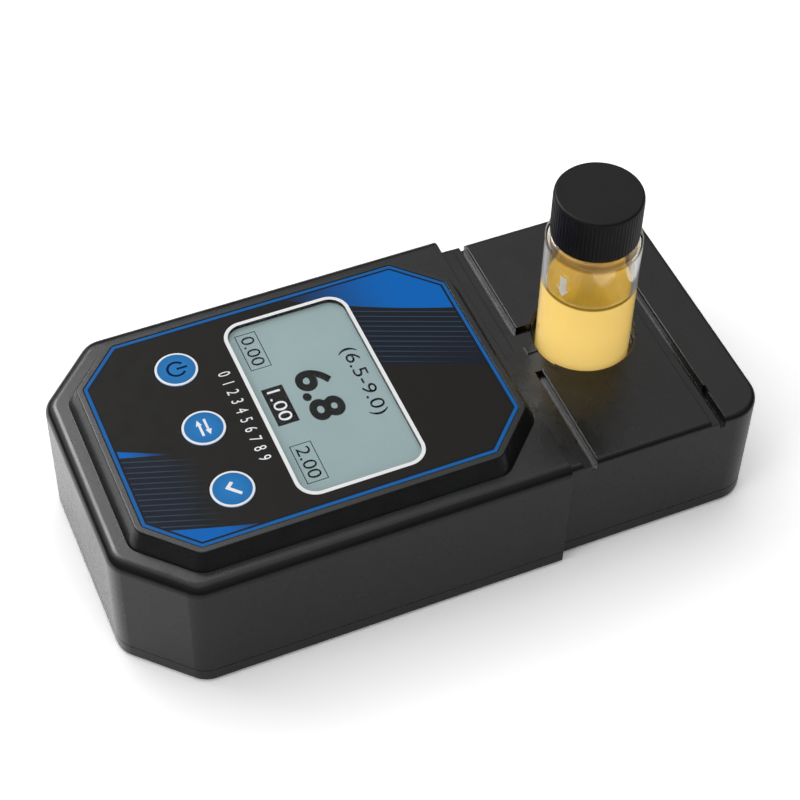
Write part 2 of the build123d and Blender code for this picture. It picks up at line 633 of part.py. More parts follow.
def battery_door():
    half = DOOR_HALF_WIDTH
    middle = (DOOR_FRONT_Y + DOOR_REAR_Y) / 2
    door = lay(rounded_rectangle(2 * half, DOOR_REAR_Y - DOOR_FRONT_Y, DOOR_CORNER, middle), FOOT_DROP, DOOR_TOP)
    for side in (-1, 1):
        x0 = side * TAB_X - TAB_WIDTH / 2
        x1 = side * TAB_X + TAB_WIDTH / 2
        door += block(x0, x1, DOOR_FRONT_Y, DOOR_FRONT_Y + TAB_ROOT, DOOR_TOP - JOIN, TAB_TOP)
        door += block(x0, x1, DOOR_FRONT_Y - TAB_REACH, DOOR_FRONT_Y + TAB_ROOT, TAB_FOOT, TAB_TOP)
        slit_x = side * LATCH_WIDTH / 2
        slit = (slit_x - LATCH_SLIT / 2, slit_x + LATCH_SLIT / 2)
        door -= block(*slit, DOOR_REAR_Y - LATCH_LENGTH, DOOR_REAR_Y + PAST, FOOT_DROP, DOOR_TOP)
    for number in range(GRIP_COUNT):
        y = DOOR_REAR_Y - GRIP_MARGIN - number * GRIP_PITCH
        groove = Pos(0, y, FOOT_DROP) * Rot(0, 90, 0) * Cylinder(GRIP_DEPTH, GRIP_WIDTH)
        door -= groove
    return door


def batteries():
    """Four cells, every second one turned round."""
    cells = []
    for number, x in enumerate(CELL_XS):
        can = fillet(Cylinder(CELL_DIAMETER / 2, CELL_LENGTH).edges(), CELL_ROUND)
        nub = Pos(0, 0, (CELL_LENGTH + CELL_NUB_LENGTH) / 2) * Cylinder(CELL_NUB_DIAMETER / 2, CELL_NUB_LENGTH)
        nub_rear = BAY_REAR_Y - CONTACT_THICK - CELL_NUB_LENGTH - CELL_LENGTH / 2
        nub_front = BAY_FRONT_Y + CONTACT_THICK + CELL_NUB_LENGTH + CELL_LENGTH / 2
        y, turn = (nub_rear, -90) if number % 2 == 0 else (nub_front, 90)
        cells.append(Pos(x, y, CELL_HEIGHT) * Rot(turn, 0, 0) * (can + nub))
    return Compound(children=cells)


def battery_contacts():
    """A plate at both ends of each cell, with a coil spring on the flat end's plate."""
    pieces = []
    half = CONTACT_SIZE / 2
    coil_height = SPRING_LENGTH - SPRING_WIRE - 2 * SEAT_GAP
    for number, x in enumerate(CELL_XS):
        z0, z1 = CELL_HEIGHT - half, CELL_HEIGHT + half
        front_plate = block(x - half, x + half, BAY_FRONT_Y, BAY_FRONT_Y + CONTACT_THICK, z0, z1)
        rear_plate = block(x - half, x + half, BAY_REAR_Y - CONTACT_THICK, BAY_REAR_Y, z0, z1)
        path = Helix(coil_height / SPRING_TURNS, coil_height, SPRING_RADIUS)
        wire = Plane(path @ 0, z_dir=path % 0) * Circle(SPRING_WIRE / 2)
        coil = sweep(wire, path=path)
        spring_front = BAY_FRONT_Y + CONTACT_THICK + SEAT_GAP + SPRING_WIRE / 2
        spring_rear = BAY_REAR_Y - CONTACT_THICK - SEAT_GAP - SPRING_WIRE / 2
        y, turn = (spring_front, -90) if number % 2 == 0 else (spring_rear, 90)
        pieces += [front_plate, rear_plate, Pos(x, y, CELL_HEIGHT) * Rot(turn, 0, 0) * coil]
    return Compound(children=pieces)


def seal_ring(z0, z1):
    return lay(case_outline(SEAL_INSET) - case_outline(SEAL_INSET + SEAL_WIDTH), z0, z1)


def screw(shank_radius, shank_length, head_radius, head_thick):
    """A pan head screw with a cross recess, head down, the underside of the head at the origin."""
    head = Pos(0, 0, -head_thick / 2) * Cylinder(head_radius, head_thick)
    head = fillet(head.edges().sort_by(Axis.Z)[0], head_thick * 0.4)
    slot = Box(head_radius * 1.1, head_radius * 0.25, head_thick)
    head -= Pos(0, 0, -head_thick) * (slot + Rot(0, 0, 90) * slot)
    shank = Pos(0, 0, shank_length / 2) * Cylinder(shank_radius, shank_length)
    tip = shank.edges().sort_by(Axis.Z)[-1]
    return head + chamfer(tip, shank_radius * 0.4)


def housing_screws():
    part = screw(CASE_SCREW_DIAMETER / 2, CASE_SCREW_LENGTH, CASE_HEAD_DIAMETER / 2, CASE_HEAD_THICK)
    return Compound(children=[Pos(x, y, HEAD_SEAT) * part for x, y in CASE_SCREWS])


def board_screws():
    part = screw(BOARD_SCREW_DIAMETER / 2, BOARD_SCREW_LENGTH, BOARD_HEAD_DIAMETER / 2, BOARD_HEAD_THICK)
    pieces = [Pos(x, y, BOARD_FOOT) * part for x, y in BOARD_POSTS]
    pieces += [Pos(x, y, OPTICS_BOARD_TOP) * Rot(180, 0, 0) * part for x, y in OPTICS_POSTS]
    return Compound(children=pieces)


def well_screws():
    part = screw(WELL_SCREW_DIAMETER / 2, WELL_SCREW_LENGTH, WELL_HEAD_DIAMETER / 2, WELL_HEAD_THICK)
    return Compound(children=[Pos(x, y, WELL_FLANGE_FOOT) * part for x, y in WELL_SCREWS])


def rubber_feet():
    foot = rod(FOOT_DIAMETER / 2, 0, 0, 0, FOOT_DROP + FOOT_RECESS)
    foot = fillet(foot.edges().sort_by(Axis.Z)[0], FOOT_EDGE_ROUND)
    return Compound(children=[Pos(x, y, 0) * foot for x, y in FEET])


def front_overlay():
    film = lay(panel_outline(-OVERLAY_INSET - OVERLAY_GAP), OVERLAY_FLOOR, OVERLAY_TOP)
    film -= lay(
        rounded_rectangle(
            WINDOW_WIDTH + 2 * WINDOW_GAP, WINDOW_LENGTH + 2 * WINDOW_GAP, WINDOW_CORNER + WINDOW_GAP, WINDOW_Y
        ),
        OVERLAY_FLOOR,
        OVERLAY_TOP,
    )
    for x, y in KEY_PLACES:
        film -= rod(KEY_DIAMETER / 2 + KEY_GAP, x, y, OVERLAY_FLOOR, OVERLAY_TOP)
    return film


def display_window():
    outline = rounded_rectangle(WINDOW_WIDTH, WINDOW_LENGTH, WINDOW_CORNER, WINDOW_Y)
    return lay(outline, OVERLAY_TOP - WINDOW_THICK, OVERLAY_TOP)


def display_panel():
    return lay(Pos(0, WINDOW_Y) * Rectangle(DISPLAY_WIDTH, DISPLAY_LENGTH), DISPLAY_FOOT, DISPLAY_TOP)


def display_backlight():
    margin = 2 * BACKLIGHT_MARGIN
    outline = Pos(0, WINDOW_Y) * Rectangle(DISPLAY_WIDTH - margin, DISPLAY_LENGTH - margin)
    return lay(outline, BACKLIGHT_FOOT, DISPLAY_FOOT)


def display_frame():
    """Tray that stands on the board, with a step for the display and one for the light behind it."""

    def rectangle(grow):
        return Pos(0, WINDOW_Y) * Rectangle(DISPLAY_WIDTH + 2 * grow, DISPLAY_LENGTH + 2 * grow)

    tray = lay(rectangle(DISPLAY_GAP + FRAME_WALL), BOARD_TOP, DISPLAY_TOP)
    tray -= lay(rectangle(DISPLAY_GAP), DISPLAY_FOOT, DISPLAY_TOP)
    tray -= lay(rectangle(DISPLAY_GAP - BACKLIGHT_MARGIN), BACKLIGHT_FOOT, DISPLAY_FOOT)
    return tray - lay(rectangle(-BACKLIGHT_MARGIN - FRAME_LIP), BOARD_TOP, BACKLIGHT_FOOT)


def key(x, y):
    cap = rod(KEY_DIAMETER / 2, x, y, FLANGE_TOP - JOIN, KEY_TOP)
    cap = fillet(cap.edges().sort_by(Axis.Z)[-1], KEY_EDGE_ROUND)
    flange = rod(KEY_DIAMETER / 2 + KEY_FLANGE, x, y, FLANGE_FOOT, FLANGE_TOP)
    stem = rod(KEY_STEM_DIAMETER / 2, x, y, PLUNGER_TOP, FLANGE_FOOT)
    return cap + flange + stem


def plunger(x, y):
    return rod(PLUNGER_DIAMETER / 2, x, y, PLUNGER_FOOT, PLUNGER_TOP)


def key_switches():
    """Switch bodies, each with a round well for its plunger."""
    half = SWITCH_SIZE / 2
    frames = []
    for x, y in KEY_PLACES:
        frame = block(x - half, x + half, y - half, y + half, BOARD_TOP, SWITCH_TOP)
        well_foot = PLUNGER_FOOT - KEY_TRAVEL - 2 * PLUNGER_GAP
        frames.append(frame - rod(PLUNGER_DIAMETER / 2 + PLUNGER_GAP, x, y, well_foot, SWITCH_TOP))
    return Compound(children=frames)


def main_board():
    middle = (BOARD_FRONT_Y + BOARD_REAR_Y) / 2
    board = lay(rounded_rectangle(BOARD_WIDTH, BOARD_LENGTH, 2, middle), BOARD_FOOT, BOARD_TOP)
    for x, y in BOARD_POSTS:
        board -= rod(BOARD_SCREW_DIAMETER / 2 + HOLE_GAP, x, y, BOARD_FOOT, BOARD_TOP)
    return board


def lead_places(side):
    """Where the two leads of the lamp or of the detector meet the optics board."""
    x = side * (BLOCK_FACE + LAMP_RIM_THICK + LEAD_REACH)
    return [(x, VIAL_Y - LEAD_SPACING / 2), (x, VIAL_Y + LEAD_SPACING / 2)]


def leads(side, start):
    """Two wires that leave sideways and bend down through the optics board."""
    wires = None
    for x, y in lead_places(side):
        flat = bar(LEAD_DIAMETER / 2, min(start, x), max(start, x), y, BEAM_HEIGHT)
        drop = rod(LEAD_DIAMETER / 2, x, y, OPTICS_BOARD_HEIGHT - LEAD_PROUD, BEAM_HEIGHT)
        wire = flat + drop + Pos(x, y, BEAM_HEIGHT) * Sphere(LEAD_DIAMETER / 2)
        wires = wire if wires is None else wires + wire
    return wires


def optics_board():
    middle = (OPTICS_BOARD_FRONT_Y + OPTICS_BOARD_REAR_Y) / 2
    length = OPTICS_BOARD_REAR_Y - OPTICS_BOARD_FRONT_Y
    board = lay(rounded_rectangle(OPTICS_BOARD_WIDTH, length, 2, middle), OPTICS_BOARD_HEIGHT, OPTICS_BOARD_TOP)
    board -= rod(WELL_OUTER + WELL_HOLE_GAP, 0, VIAL_Y, OPTICS_BOARD_HEIGHT, OPTICS_BOARD_TOP)
    for x, y in OPTICS_POSTS:
        board -= rod(BOARD_SCREW_DIAMETER / 2 + HOLE_GAP, x, y, OPTICS_BOARD_HEIGHT, OPTICS_BOARD_TOP)
    for x, y in lead_places(-1) + lead_places(1):
        board -= rod(LEAD_DIAMETER / 2 + HOLE_GAP, x, y, OPTICS_BOARD_HEIGHT, OPTICS_BOARD_TOP)
    return board


def board_chips():
    """Packages soldered to the two boards, placed from the middle of each in steps of the layout grid."""
    board_y = (BOARD_FRONT_Y + BOARD_REAR_Y) / 2
    under = [
        (-14, 4, 14, 14, 1.4),
        (8, 0, 8, 6, 1.2),
        (-22, 26, 6, 5, 1.5),
        (20, -18, 9, 9, 3.5),
        (22, 20, 10, 8, 2.0),
        (-24, -20, 5, 4, 1.6),
        (6, -20, 3.2, 1.6, 0.8),
        (-2, 24, 4, 5, 1.0),
    ]
    over = [
        (16, -19.5, 5, 4, 1.5),
        (-20, -15.5, 4, 3, 1.0),
        (17, 15.5, 6, 4, 1.2),
        (-18, 16.5, 3.2, 2.5, 1.0),
    ]
    g = CHIP_GRID
    chips = [
        Pos(x * g, board_y + y * g, BOARD_FOOT - h * g / 2) * Box(w * g, d * g, h * g) for x, y, w, d, h in under
    ]
    chips += [
        Pos(x * g, VIAL_Y + y * g, OPTICS_BOARD_TOP + h * g / 2) * Box(w * g, d * g, h * g)
        for x, y, w, d, h in over
    ]
    return Compound(children=chips)


def ribbon_ends():
    """Y and Z where the ribbon leaves the connector of each board."""
    upper = (BOARD_REAR_Y - CONNECTOR_MARGIN, BOARD_FOOT - CONNECTOR_HEIGHT / 2)
    lower = (OPTICS_BOARD_FRONT_Y + CONNECTOR_MARGIN, OPTICS_BOARD_TOP + CONNECTOR_HEIGHT / 2)
    return upper, lower


def ribbon_connectors():
    half = CONNECTOR_WIDTH / 2
    (upper_y, upper_z), (lower_y, lower_z) = ribbon_ends()
    rise = CONNECTOR_HEIGHT / 2
    upper = block(-half, half, upper_y - CONNECTOR_LENGTH, upper_y, upper_z - rise, upper_z + rise)
    lower = block(-half, half, lower_y, lower_y + CONNECTOR_LENGTH, lower_z - rise, lower_z + rise)
    return Compound(children=[upper, lower])


def ribbon_cable():
    """Flat cable that drops from the main board to the optics board."""
    upper, lower = ribbon_ends()
    drop_y = upper[0] + (lower[0] - upper[0]) * RIBBON_DROP_SHARE
    path = FilletPolyline(upper, (drop_y, upper[1]), (drop_y, lower[1]), lower, radius=RIBBON_BEND)
    profile = trace(path, line_width=RIBBON_THICK)
    return Pos(-RIBBON_WIDTH / 2, 0, 0) * extrude(Plane.YZ * profile, amount=RIBBON_WIDTH)


def cell_well():
    """Tube that holds the vial, its floor, its flange and the two blocks for the optics."""
    foot = WELL_FLOOR_HEIGHT - WELL_FLOOR
    tube = rod(WELL_OUTER, 0, VIAL_Y, foot, WELL_FLANGE_TOP)
    tube += rod(WELL_OUTER + WELL_FLANGE_WIDTH, 0, VIAL_Y, WELL_FLANGE_FOOT, WELL_FLANGE_TOP)
    half = OPTIC_BLOCK / 2
    tube += block(-BLOCK_FACE, BLOCK_FACE, VIAL_Y - half, VIAL_Y + half, BEAM_HEIGHT - half, BEAM_HEIGHT + half)
    tube -= rod(WELL_BORE, 0, VIAL_Y, WELL_FLOOR_HEIGHT, WELL_FLANGE_TOP)
    tube -= bar(LAMP_DIAMETER / 2 + OPTIC_GAP, -BLOCK_FACE, 0, VIAL_Y, BEAM_HEIGHT)
    tube -= bar(APERTURE_DIAMETER / 2, 0, BLOCK_FACE, VIAL_Y, BEAM_HEIGHT)
    tube -= bar(FILTER_DIAMETER / 2 + OPTIC_GAP, FILTER_FACE, BLOCK_FACE, VIAL_Y, BEAM_HEIGHT)
    for x, y in WELL_SCREWS:
        tube -= rod(WELL_SCREW_DIAMETER / 2 + HOLE_GAP, x, y, WELL_FLANGE_FOOT, WELL_FLANGE_TOP)
    return tube


def well_gasket():
    inner = WELL_RADIUS + GASKET_MARGIN
    ring = rod(inner + GASKET_WIDTH, 0, VIAL_Y, WELL_FLANGE_TOP, DECK_CEILING)
    return ring - rod(inner, 0, VIAL_Y, WELL_FLANGE_TOP, DECK_CEILING)


def light_source():
    """Lamp with a domed tip and a rim, and its two leads."""
    dome_x = -BLOCK_FACE + LAMP_LENGTH - LAMP_DIAMETER / 2
    lamp = bar(LAMP_DIAMETER / 2, -BLOCK_FACE, dome_x, VIAL_Y, BEAM_HEIGHT)
    lamp += Pos(dome_x, VIAL_Y, BEAM_HEIGHT) * Sphere(LAMP_DIAMETER / 2)
    rim_face = -BLOCK_FACE - LAMP_RIM_THICK
    lamp += bar(LAMP_RIM_DIAMETER / 2, rim_face, -BLOCK_FACE, VIAL_Y, BEAM_HEIGHT)
    return lamp + leads(-1, rim_face + JOIN)


def optical_filter():
    return bar(FILTER_DIAMETER / 2, FILTER_FACE + SEAT_GAP, FILTER_FACE + FILTER_THICK, VIAL_Y, BEAM_HEIGHT)


def photodiode():
    """Can of the detector behind the filter, and its two leads."""
    face = FILTER_FACE + FILTER_THICK + SEAT_GAP
    can = bar(FILTER_DIAMETER / 2, face, face + DETECTOR_THICK, VIAL_Y, BEAM_HEIGHT)
    return can + leads(1, face + DETECTOR_THICK - JOIN)


def turned(points, rounds):
    """Revolve an outline around the upright axis of the vial, after rounding some of its corners."""
    outline = Polygon(*points, align=None)
    for point, radius in rounds:
        corner = outline.vertices().sort_by_distance(Vector(*point, 0))[0]
        outline = fillet(corner, radius)
    return Pos(0, VIAL_Y, 0) * revolve(Plane.XZ * outline, Axis.Z)


def vial_glass():
    inner = VIAL_RADIUS - VIAL_WALL
    floor = VIAL_FOOT + VIAL_FLOOR
    mouth = NECK_RADIUS - NECK_WALL
    ceiling = SHOULDER_HEIGHT - VIAL_WALL
    points = [
        (0, VIAL_FOOT),
        (VIAL_RADIUS, VIAL_FOOT),
        (VIAL_RADIUS, SHOULDER_HEIGHT),
        (NECK_RADIUS, SHOULDER_HEIGHT),
        (NECK_RADIUS, NECK_TOP),
        (mouth, NECK_TOP),
        (mouth, ceiling),
        (inner, ceiling),
        (inner, floor),
        (0, floor),
    ]
    rounds = [
        ((VIAL_RADIUS, VIAL_FOOT), VIAL_FOOT_ROUND),
        ((VIAL_RADIUS, SHOULDER_HEIGHT), SHOULDER_ROUND),
        ((inner, ceiling), SHOULDER_ROUND - VIAL_WALL / 2),
        ((inner, floor), VIAL_FOOT_ROUND - VIAL_WALL / 2),
    ]
    return turned(points, rounds)


def sample_liquid():
    """The sample, whose surface climbs a little at the glass."""
    side = VIAL_RADIUS - VIAL_WALL - LIQUID_GAP
    foot = VIAL_FOOT + VIAL_FLOOR + LIQUID_GAP
    edge = side - MENISCUS / 4
    points = [
        (0, foot),
        (side, foot),
        (side, LIQUID_HEIGHT + MENISCUS),
        (edge, LIQUID_HEIGHT + MENISCUS),
        (edge, LIQUID_HEIGHT),
        (0, LIQUID_HEIGHT),
    ]
    rounds = [((side, foot), VIAL_FOOT_ROUND - VIAL_WALL / 2), ((edge, LIQUID_HEIGHT), MENISCUS * 0.9)]
    return turned(points, rounds)


def vial_cap():
    """Screw cap with fine upright ribs between two plain bands."""
    core = CAP_RADIUS - RIB_RADIUS + RIB_SINK
    cap = rod(core, 0, VIAL_Y, CAP_FOOT, CAP_TOP)
    cap = fillet(cap.edges().sort_by(Axis.Z)[-1], CAP_EDGE_ROUND)
    ribs = Circle(core - RIB_SINK)
    ribs += [location * Circle(RIB_RADIUS) for location in PolarLocations(CAP_RADIUS - RIB_RADIUS, RIB_COUNT)]
    cap += Pos(0, VIAL_Y, 0) * lay(ribs, CAP_FOOT + PLAIN_FOOT, CAP_TOP - PLAIN_TOP)
    return cap - rod(NECK_RADIUS + CAP_WALL_GAP, 0, VIAL_Y, CAP_FOOT, LINER_TOP)


def cap_liner():
    return rod(NECK_RADIUS, 0, VIAL_Y, LINER_FOOT, LINER_TOP)


PARTS = {
    "top_housing": top_housing,
    "bottom_housing": bottom_housing,
    "housing_seal": lambda: seal_ring(BOTTOM_RIM - SEAL_DEPTH, TOP_RIM),
    "housing_screws": housing_screws,
    "rubber_feet": rubber_feet,
    "front_overlay": front_overlay,
    "display_window": display_window,
    "display_panel": display_panel,
    "display_backlight": display_backlight,
    "display_frame": display_frame,
    "power_key": lambda: key(*KEY_PLACES[0]),
    "select_key": lambda: key(*KEY_PLACES[1]),
    "confirm_key": lambda: key(*KEY_PLACES[2]),
    "power_plunger": lambda: plunger(*KEY_PLACES[0]),
    "select_plunger": lambda: plunger(*KEY_PLACES[1]),
    "confirm_plunger": lambda: plunger(*KEY_PLACES[2]),
    "key_switches": key_switches,
    "main_board": main_board,
    "board_chips": board_chips,
    "board_screws": board_screws,
    "cell_well": cell_well,
    "well_gasket": well_gasket,
    "well_screws": well_screws,
    "light_source": light_source,
    "optical_filter": optical_filter,
    "photodiode": photodiode,
    "optics_board": optics_board,
    "ribbon_cable": ribbon_cable,
    "ribbon_connectors": ribbon_connectors,
    "batteries": batteries,
    "battery_contacts": battery_contacts,
    "battery_door": battery_door,
    "vial_glass": vial_glass,
    "sample_liquid": sample_liquid,
    "vial_cap": vial_cap,
    "cap_liner": cap_liner,
}

os.makedirs("parts", exist_ok=True)
for name, make in PARTS.items():
    export_step(make(), f"parts/{name}.step")
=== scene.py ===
import json
import math

import bmesh
import bpy
from mathutils import Matrix, Vector


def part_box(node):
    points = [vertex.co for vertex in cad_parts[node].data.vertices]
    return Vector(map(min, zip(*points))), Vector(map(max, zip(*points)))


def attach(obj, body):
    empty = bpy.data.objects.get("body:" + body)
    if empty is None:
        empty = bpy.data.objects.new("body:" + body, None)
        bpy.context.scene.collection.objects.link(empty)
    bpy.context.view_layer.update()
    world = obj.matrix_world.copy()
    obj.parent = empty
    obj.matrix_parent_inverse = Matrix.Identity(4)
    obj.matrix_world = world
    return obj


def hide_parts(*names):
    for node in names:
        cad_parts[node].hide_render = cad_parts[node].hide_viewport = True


# Portable water quality analyzer on a white table. Lengths are in metres, in the frame of the CAD model.
MM = 0.001

# Camera, fitted to the straight edges of the case
CAMERA_PLACE = (330.6 * MM, -147.7 * MM, 457.5 * MM)
CAMERA_AZIMUTH = math.radians(65.715)
CAMERA_ELEVATION = math.radians(49.156)
CAMERA_ROLL = math.radians(1.649)
CAMERA_LENS = 96.8
CAMERA_SHIFT = (-0.003, -0.0232)

# Round white table, beyond whose edge the walls of the case mirror the dark horizon. Its white is plain
# for the light that it sends on, brighter to the eye, and between the two in mirrors.
TABLE_RADIUS = 0.5
TABLE_WHITE = (0.7, 0.7, 0.7)
TABLE_SEEN = (1.5, 1.5, 1.5)
TABLE_MIRRORED = 0.2

# Strength of the sky, by the height of the direction
HORIZON_HEIGHT = 0.2
HORIZON_LIGHT = 0.06
ZENITH_LIGHT = 0.4

# Printed film, window, keys, cells and board, in millimetres
FILM_CUT = 11.25
FILM_LINE_OUTER = 0.12
WINDOW_FRAME = 1.0
FILM_BAND = 1.0
FAR_STRIPES = {"slope": 0.411, "first": -21.5, "pitch": 1.88, "count": 11, "width": 0.34}
NEAR_STRIPES = {"slope": 0.333, "first": 27.7, "pitch": 1.8, "count": 13, "width": 0.32}
WEDGE_LEFT = {"start": 34.5, "slope": 0.473, "bend": 0.0}
WEDGE_RIGHT = {"start": 23.2, "slope": 0.292, "bend": 0.0}
FAR_PATCH = {"start": -23.3, "slope": 0.477, "bend": 0.00288}
NEAR_PATCH = {"start": 41.4, "slope": 0.0815, "bend": 0.00175}
WINDOW_CORNER = 5.5
KEY_RING_INNER = 4.95
KEY_RING_OUTER = 5.56
KEY_RING_DEPTH = 0.5
CELL_LENGTH = 25.0
TRACK_PITCH = 1.6
FILM_LINE_INNER = 1.55
PRINT_SOFTNESS = 0.12

# Worn edges and ink, in metres
EDGE_RADIUS = 0.25 * MM
PRINT_THICK = 0.02 * MM

# Painted glow: the share of its colour that the sample gives off as light of its own, in place of the light
# that a clear sample gathers from all round. There is no lamp in the well.
PAINTED_SAMPLE_GLOW = 0.5

# Sample, arrow and neck of the vial, in millimetres
WALL_REACH = 0.35
ARROW_TURN = math.radians(-62.0)
ARROW_TIP = 59.4
MENISCUS_RISE = 0.9
MENISCUS_WIDTH = 1.8
# Band of painted shade on the glass under the cap
NECK_SHADE_LOW = 70.4
NECK_SHADE_HIGH = 72.7

PLASTIC_IOR = 1.42

# Colours, as linear light
CASE_BLACK = (0.006, 0.0064, 0.0067)
FILM_BLACK = (0.0165, 0.0155, 0.0145)
FILM_NAVY = (0.008, 0.012, 0.022)
STRIPE_NAVY = (0.0105, 0.0145, 0.025)
STRIPE_GREY = (0.034, 0.062, 0.1)
LABEL_BLUE = (0.0005, 0.138, 0.52)
BAND_BLUE = (0.008, 0.13, 0.42)
KEY_BLUE = (0.018, 0.205, 0.55)
SYMBOL_NAVY = (0.002, 0.012, 0.055)
PRINT_WHITE = (0.93, 0.94, 0.95)
PRINT_BLACK = (0.006, 0.006, 0.006)
DISPLAY_GREY = (0.36, 0.465, 0.475)
# Painted shade of the sample where it climbs the wall of the vial
MENISCUS_PAINTED_SHADE = (0.2, 0.115, 0.01)

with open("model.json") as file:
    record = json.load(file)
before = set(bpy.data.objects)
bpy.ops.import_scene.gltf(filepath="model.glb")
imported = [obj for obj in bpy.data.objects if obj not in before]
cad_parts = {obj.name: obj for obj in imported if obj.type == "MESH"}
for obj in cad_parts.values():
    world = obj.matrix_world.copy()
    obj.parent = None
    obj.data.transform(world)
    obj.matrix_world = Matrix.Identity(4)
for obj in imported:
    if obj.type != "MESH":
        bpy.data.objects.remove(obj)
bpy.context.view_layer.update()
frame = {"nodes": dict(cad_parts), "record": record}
nodes = frame["nodes"]


class Look:
    """A procedural material while it is made, with one short call for each kind of shader node."""

    def __init__(self, name):
        self.material = bpy.data.materials.new(name)
        self.material.use_nodes = True
        self.tree = self.material.node_tree
        self.shader = self.tree.nodes["Principled BSDF"]
        self.output = self.tree.nodes["Material Output"]

    def new(self, kind, **settings):
        node = self.tree.nodes.new(kind)
        for name, value in settings.items():
            setattr(node, name, value)
        return node

    def put(self, socket, value):
        """Links a socket to another one, or sets it to a number or a colour."""
        if isinstance(value, bpy.types.NodeSocket):
            self.tree.links.new(value, socket)
        elif isinstance(value, tuple) and socket.type == "RGBA":
            socket.default_value = (*value, 1.0)
        else:
            socket.default_value = value

    def set(self, **values):
        """Sets inputs of the main shader, named in small letters with _ for a space."""
        for socket in self.shader.inputs:
            key = socket.name.lower().replace(" ", "_")
            if key in values:
                self.put(socket, values.pop(key))
        assert not values, values

    def maths(self, operation, first, second=0.0):
        node = self.new("ShaderNodeMath", operation=operation)
        self.put(node.inputs[0], first)
        self.put(node.inputs[1], second)
        return node.outputs[0]

    def vector_maths(self, operation, first, second=(0.0, 0.0, 0.0)):
        node = self.new("ShaderNodeVectorMath", operation=operation)
        self.put(node.inputs[0], first)
        self.put(node.inputs[1], second)
        return node.outputs[0]

    def place(self):
        """The point on the object at rest, in metres."""
        return self.new("ShaderNodeTexCoord").outputs["Object"]

    def normal(self):
        return self.new("ShaderNodeTexCoord").outputs["Normal"]

    def parts(self, vector):
        node = self.new("ShaderNodeSeparateXYZ")
        self.put(node.inputs[0], vector)
        return node.outputs[0], node.outputs[1], node.outputs[2]

    def millimetres(self):
        """The point on the object at rest, as three numbers in millimetres."""
        return tuple(self.maths("DIVIDE", value, MM) for value in self.parts(self.place()))

    def step(self, value, edge, softness=PRINT_SOFTNESS):
        """0 below the edge and 1 above it, with a soft change across it."""
        node = self.new("ShaderNodeMapRange", interpolation_type="SMOOTHSTEP")
        self.put(node.inputs["Value"], self.maths("SUBTRACT", value, edge))
        node.inputs["From Min"].default_value = -softness / 2
        node.inputs["From Max"].default_value = softness / 2
        return node.outputs[0]

    def fade(self, value, start, end):
        """0 at the start value and 1 at the end value, either of which may be the larger."""
        node = self.new("ShaderNodeMapRange", interpolation_type="SMOOTHSTEP")
        self.put(node.inputs["Value"], value)
        node.inputs["From Min"].default_value = start
        node.inputs["From Max"].default_value = end
        return node.outputs[0]

    def both(self, *masks):
        result = masks[0]
        for mask in masks[1:]:
            result = self.maths("MULTIPLY", result, mask)
        return result

    def without(self, mask):
        return self.maths("SUBTRACT", 1.0, mask)

    def mix(self, factor, first, second):
        """The first colour where the factor is 0 and the second where it is 1."""
        node = self.new("ShaderNodeMix", data_type="RGBA")
        self.put(node.inputs["Factor"], factor)
        self.put(node.inputs[6], first)
        self.put(node.inputs[7], second)
        return node.outputs[2]

    def noise(self, grain, detail=2.0, roughness=0.5, stretch=(1.0, 1.0, 1.0)):
        """Noise whose spots are about one grain across, in metres."""
        node = self.new("ShaderNodeTexNoise")
        self.put(node.inputs["Vector"], self.vector_maths("MULTIPLY", self.place(), stretch))
        node.inputs["Scale"].default_value = 0.5 / grain
        node.inputs["Detail"].default_value = detail
        node.inputs["Roughness"].default_value = roughness
        return node.outputs["Fac"]

    def between(self, value, low, high):
        """Spreads noise from 0.3 to 0.7 over a range of numbers."""
        node = self.new("ShaderNodeMapRange")
        self.put(node.inputs["Value"], value)
        node.inputs["From Min"].default_value = 0.3
        node.inputs["From Max"].default_value = 0.7
        node.inputs["To Min"].default_value = low
        node.inputs["To Max"].default_value = high
        return node.outputs[0]

    def bump(self, height, distance, edge_radius=0.0):
        """Fine relief from a height, on edges that are rounded by a radius too small for the solids."""
        node = self.new("ShaderNodeBump")
        self.put(node.inputs["Height"], height)
        node.inputs["Distance"].default_value = distance
        if edge_radius:
            bevel = self.new("ShaderNodeBevel", samples=6)
            bevel.inputs["Radius"].default_value = edge_radius
            self.put(node.inputs["Normal"], bevel.outputs[0])
        self.put(self.shader.inputs["Normal"], node.outputs[0])

    def varied(self, colour, amount, grain=8 * MM):
        """The colour, a little lighter and darker in wide soft spots."""
        dark = tuple(value * (1 - amount) for value in colour)
        light = tuple(value * (1 + amount) for value in colour)
        return self.mix(self.between(self.noise(grain), 0.0, 1.0), dark, light)

    def clear_to_light(self, share=1.0, gone=0.0, tint=(1.0, 1.0, 1.0)):
        """Lets light through to what lies behind. The eye still sees the surface where it isn't gone."""
        clear = self.new("ShaderNodeBsdfTransparent")
        self.put(clear.inputs["Color"], tint)
        mixed = self.new("ShaderNodeMixShader")
        rays = self.new("ShaderNodeLightPath")
        light = self.maths("MAXIMUM", rays.outputs["Is Shadow Ray"], rays.outputs["Is Diffuse Ray"])
        self.put(mixed.inputs[0], self.maths("MAXIMUM", self.maths("MULTIPLY", light, share), gone))
        self.put(mixed.inputs[1], self.shader.outputs[0])
        self.put(mixed.inputs[2], clear.outputs[0])
        self.put(self.output.inputs["Surface"], mixed.outputs[0])


def moulded(name, colour, grain=0.35 * MM, depth=0.012 * MM, rough=(0.24, 0.31)):
    """Moulded plastic with a fine spark-eroded texture and slightly worn edges."""
    look = Look(name)
    texture = look.noise(grain, detail=3.0, roughness=0.6)
    look.set(
        base_color=look.varied(colour, 0.12),
        roughness=look.between(look.noise(3 * MM), *rough),
        ior=PLASTIC_IOR,
    )
    look.bump(texture, depth, EDGE_RADIUS)
    return look


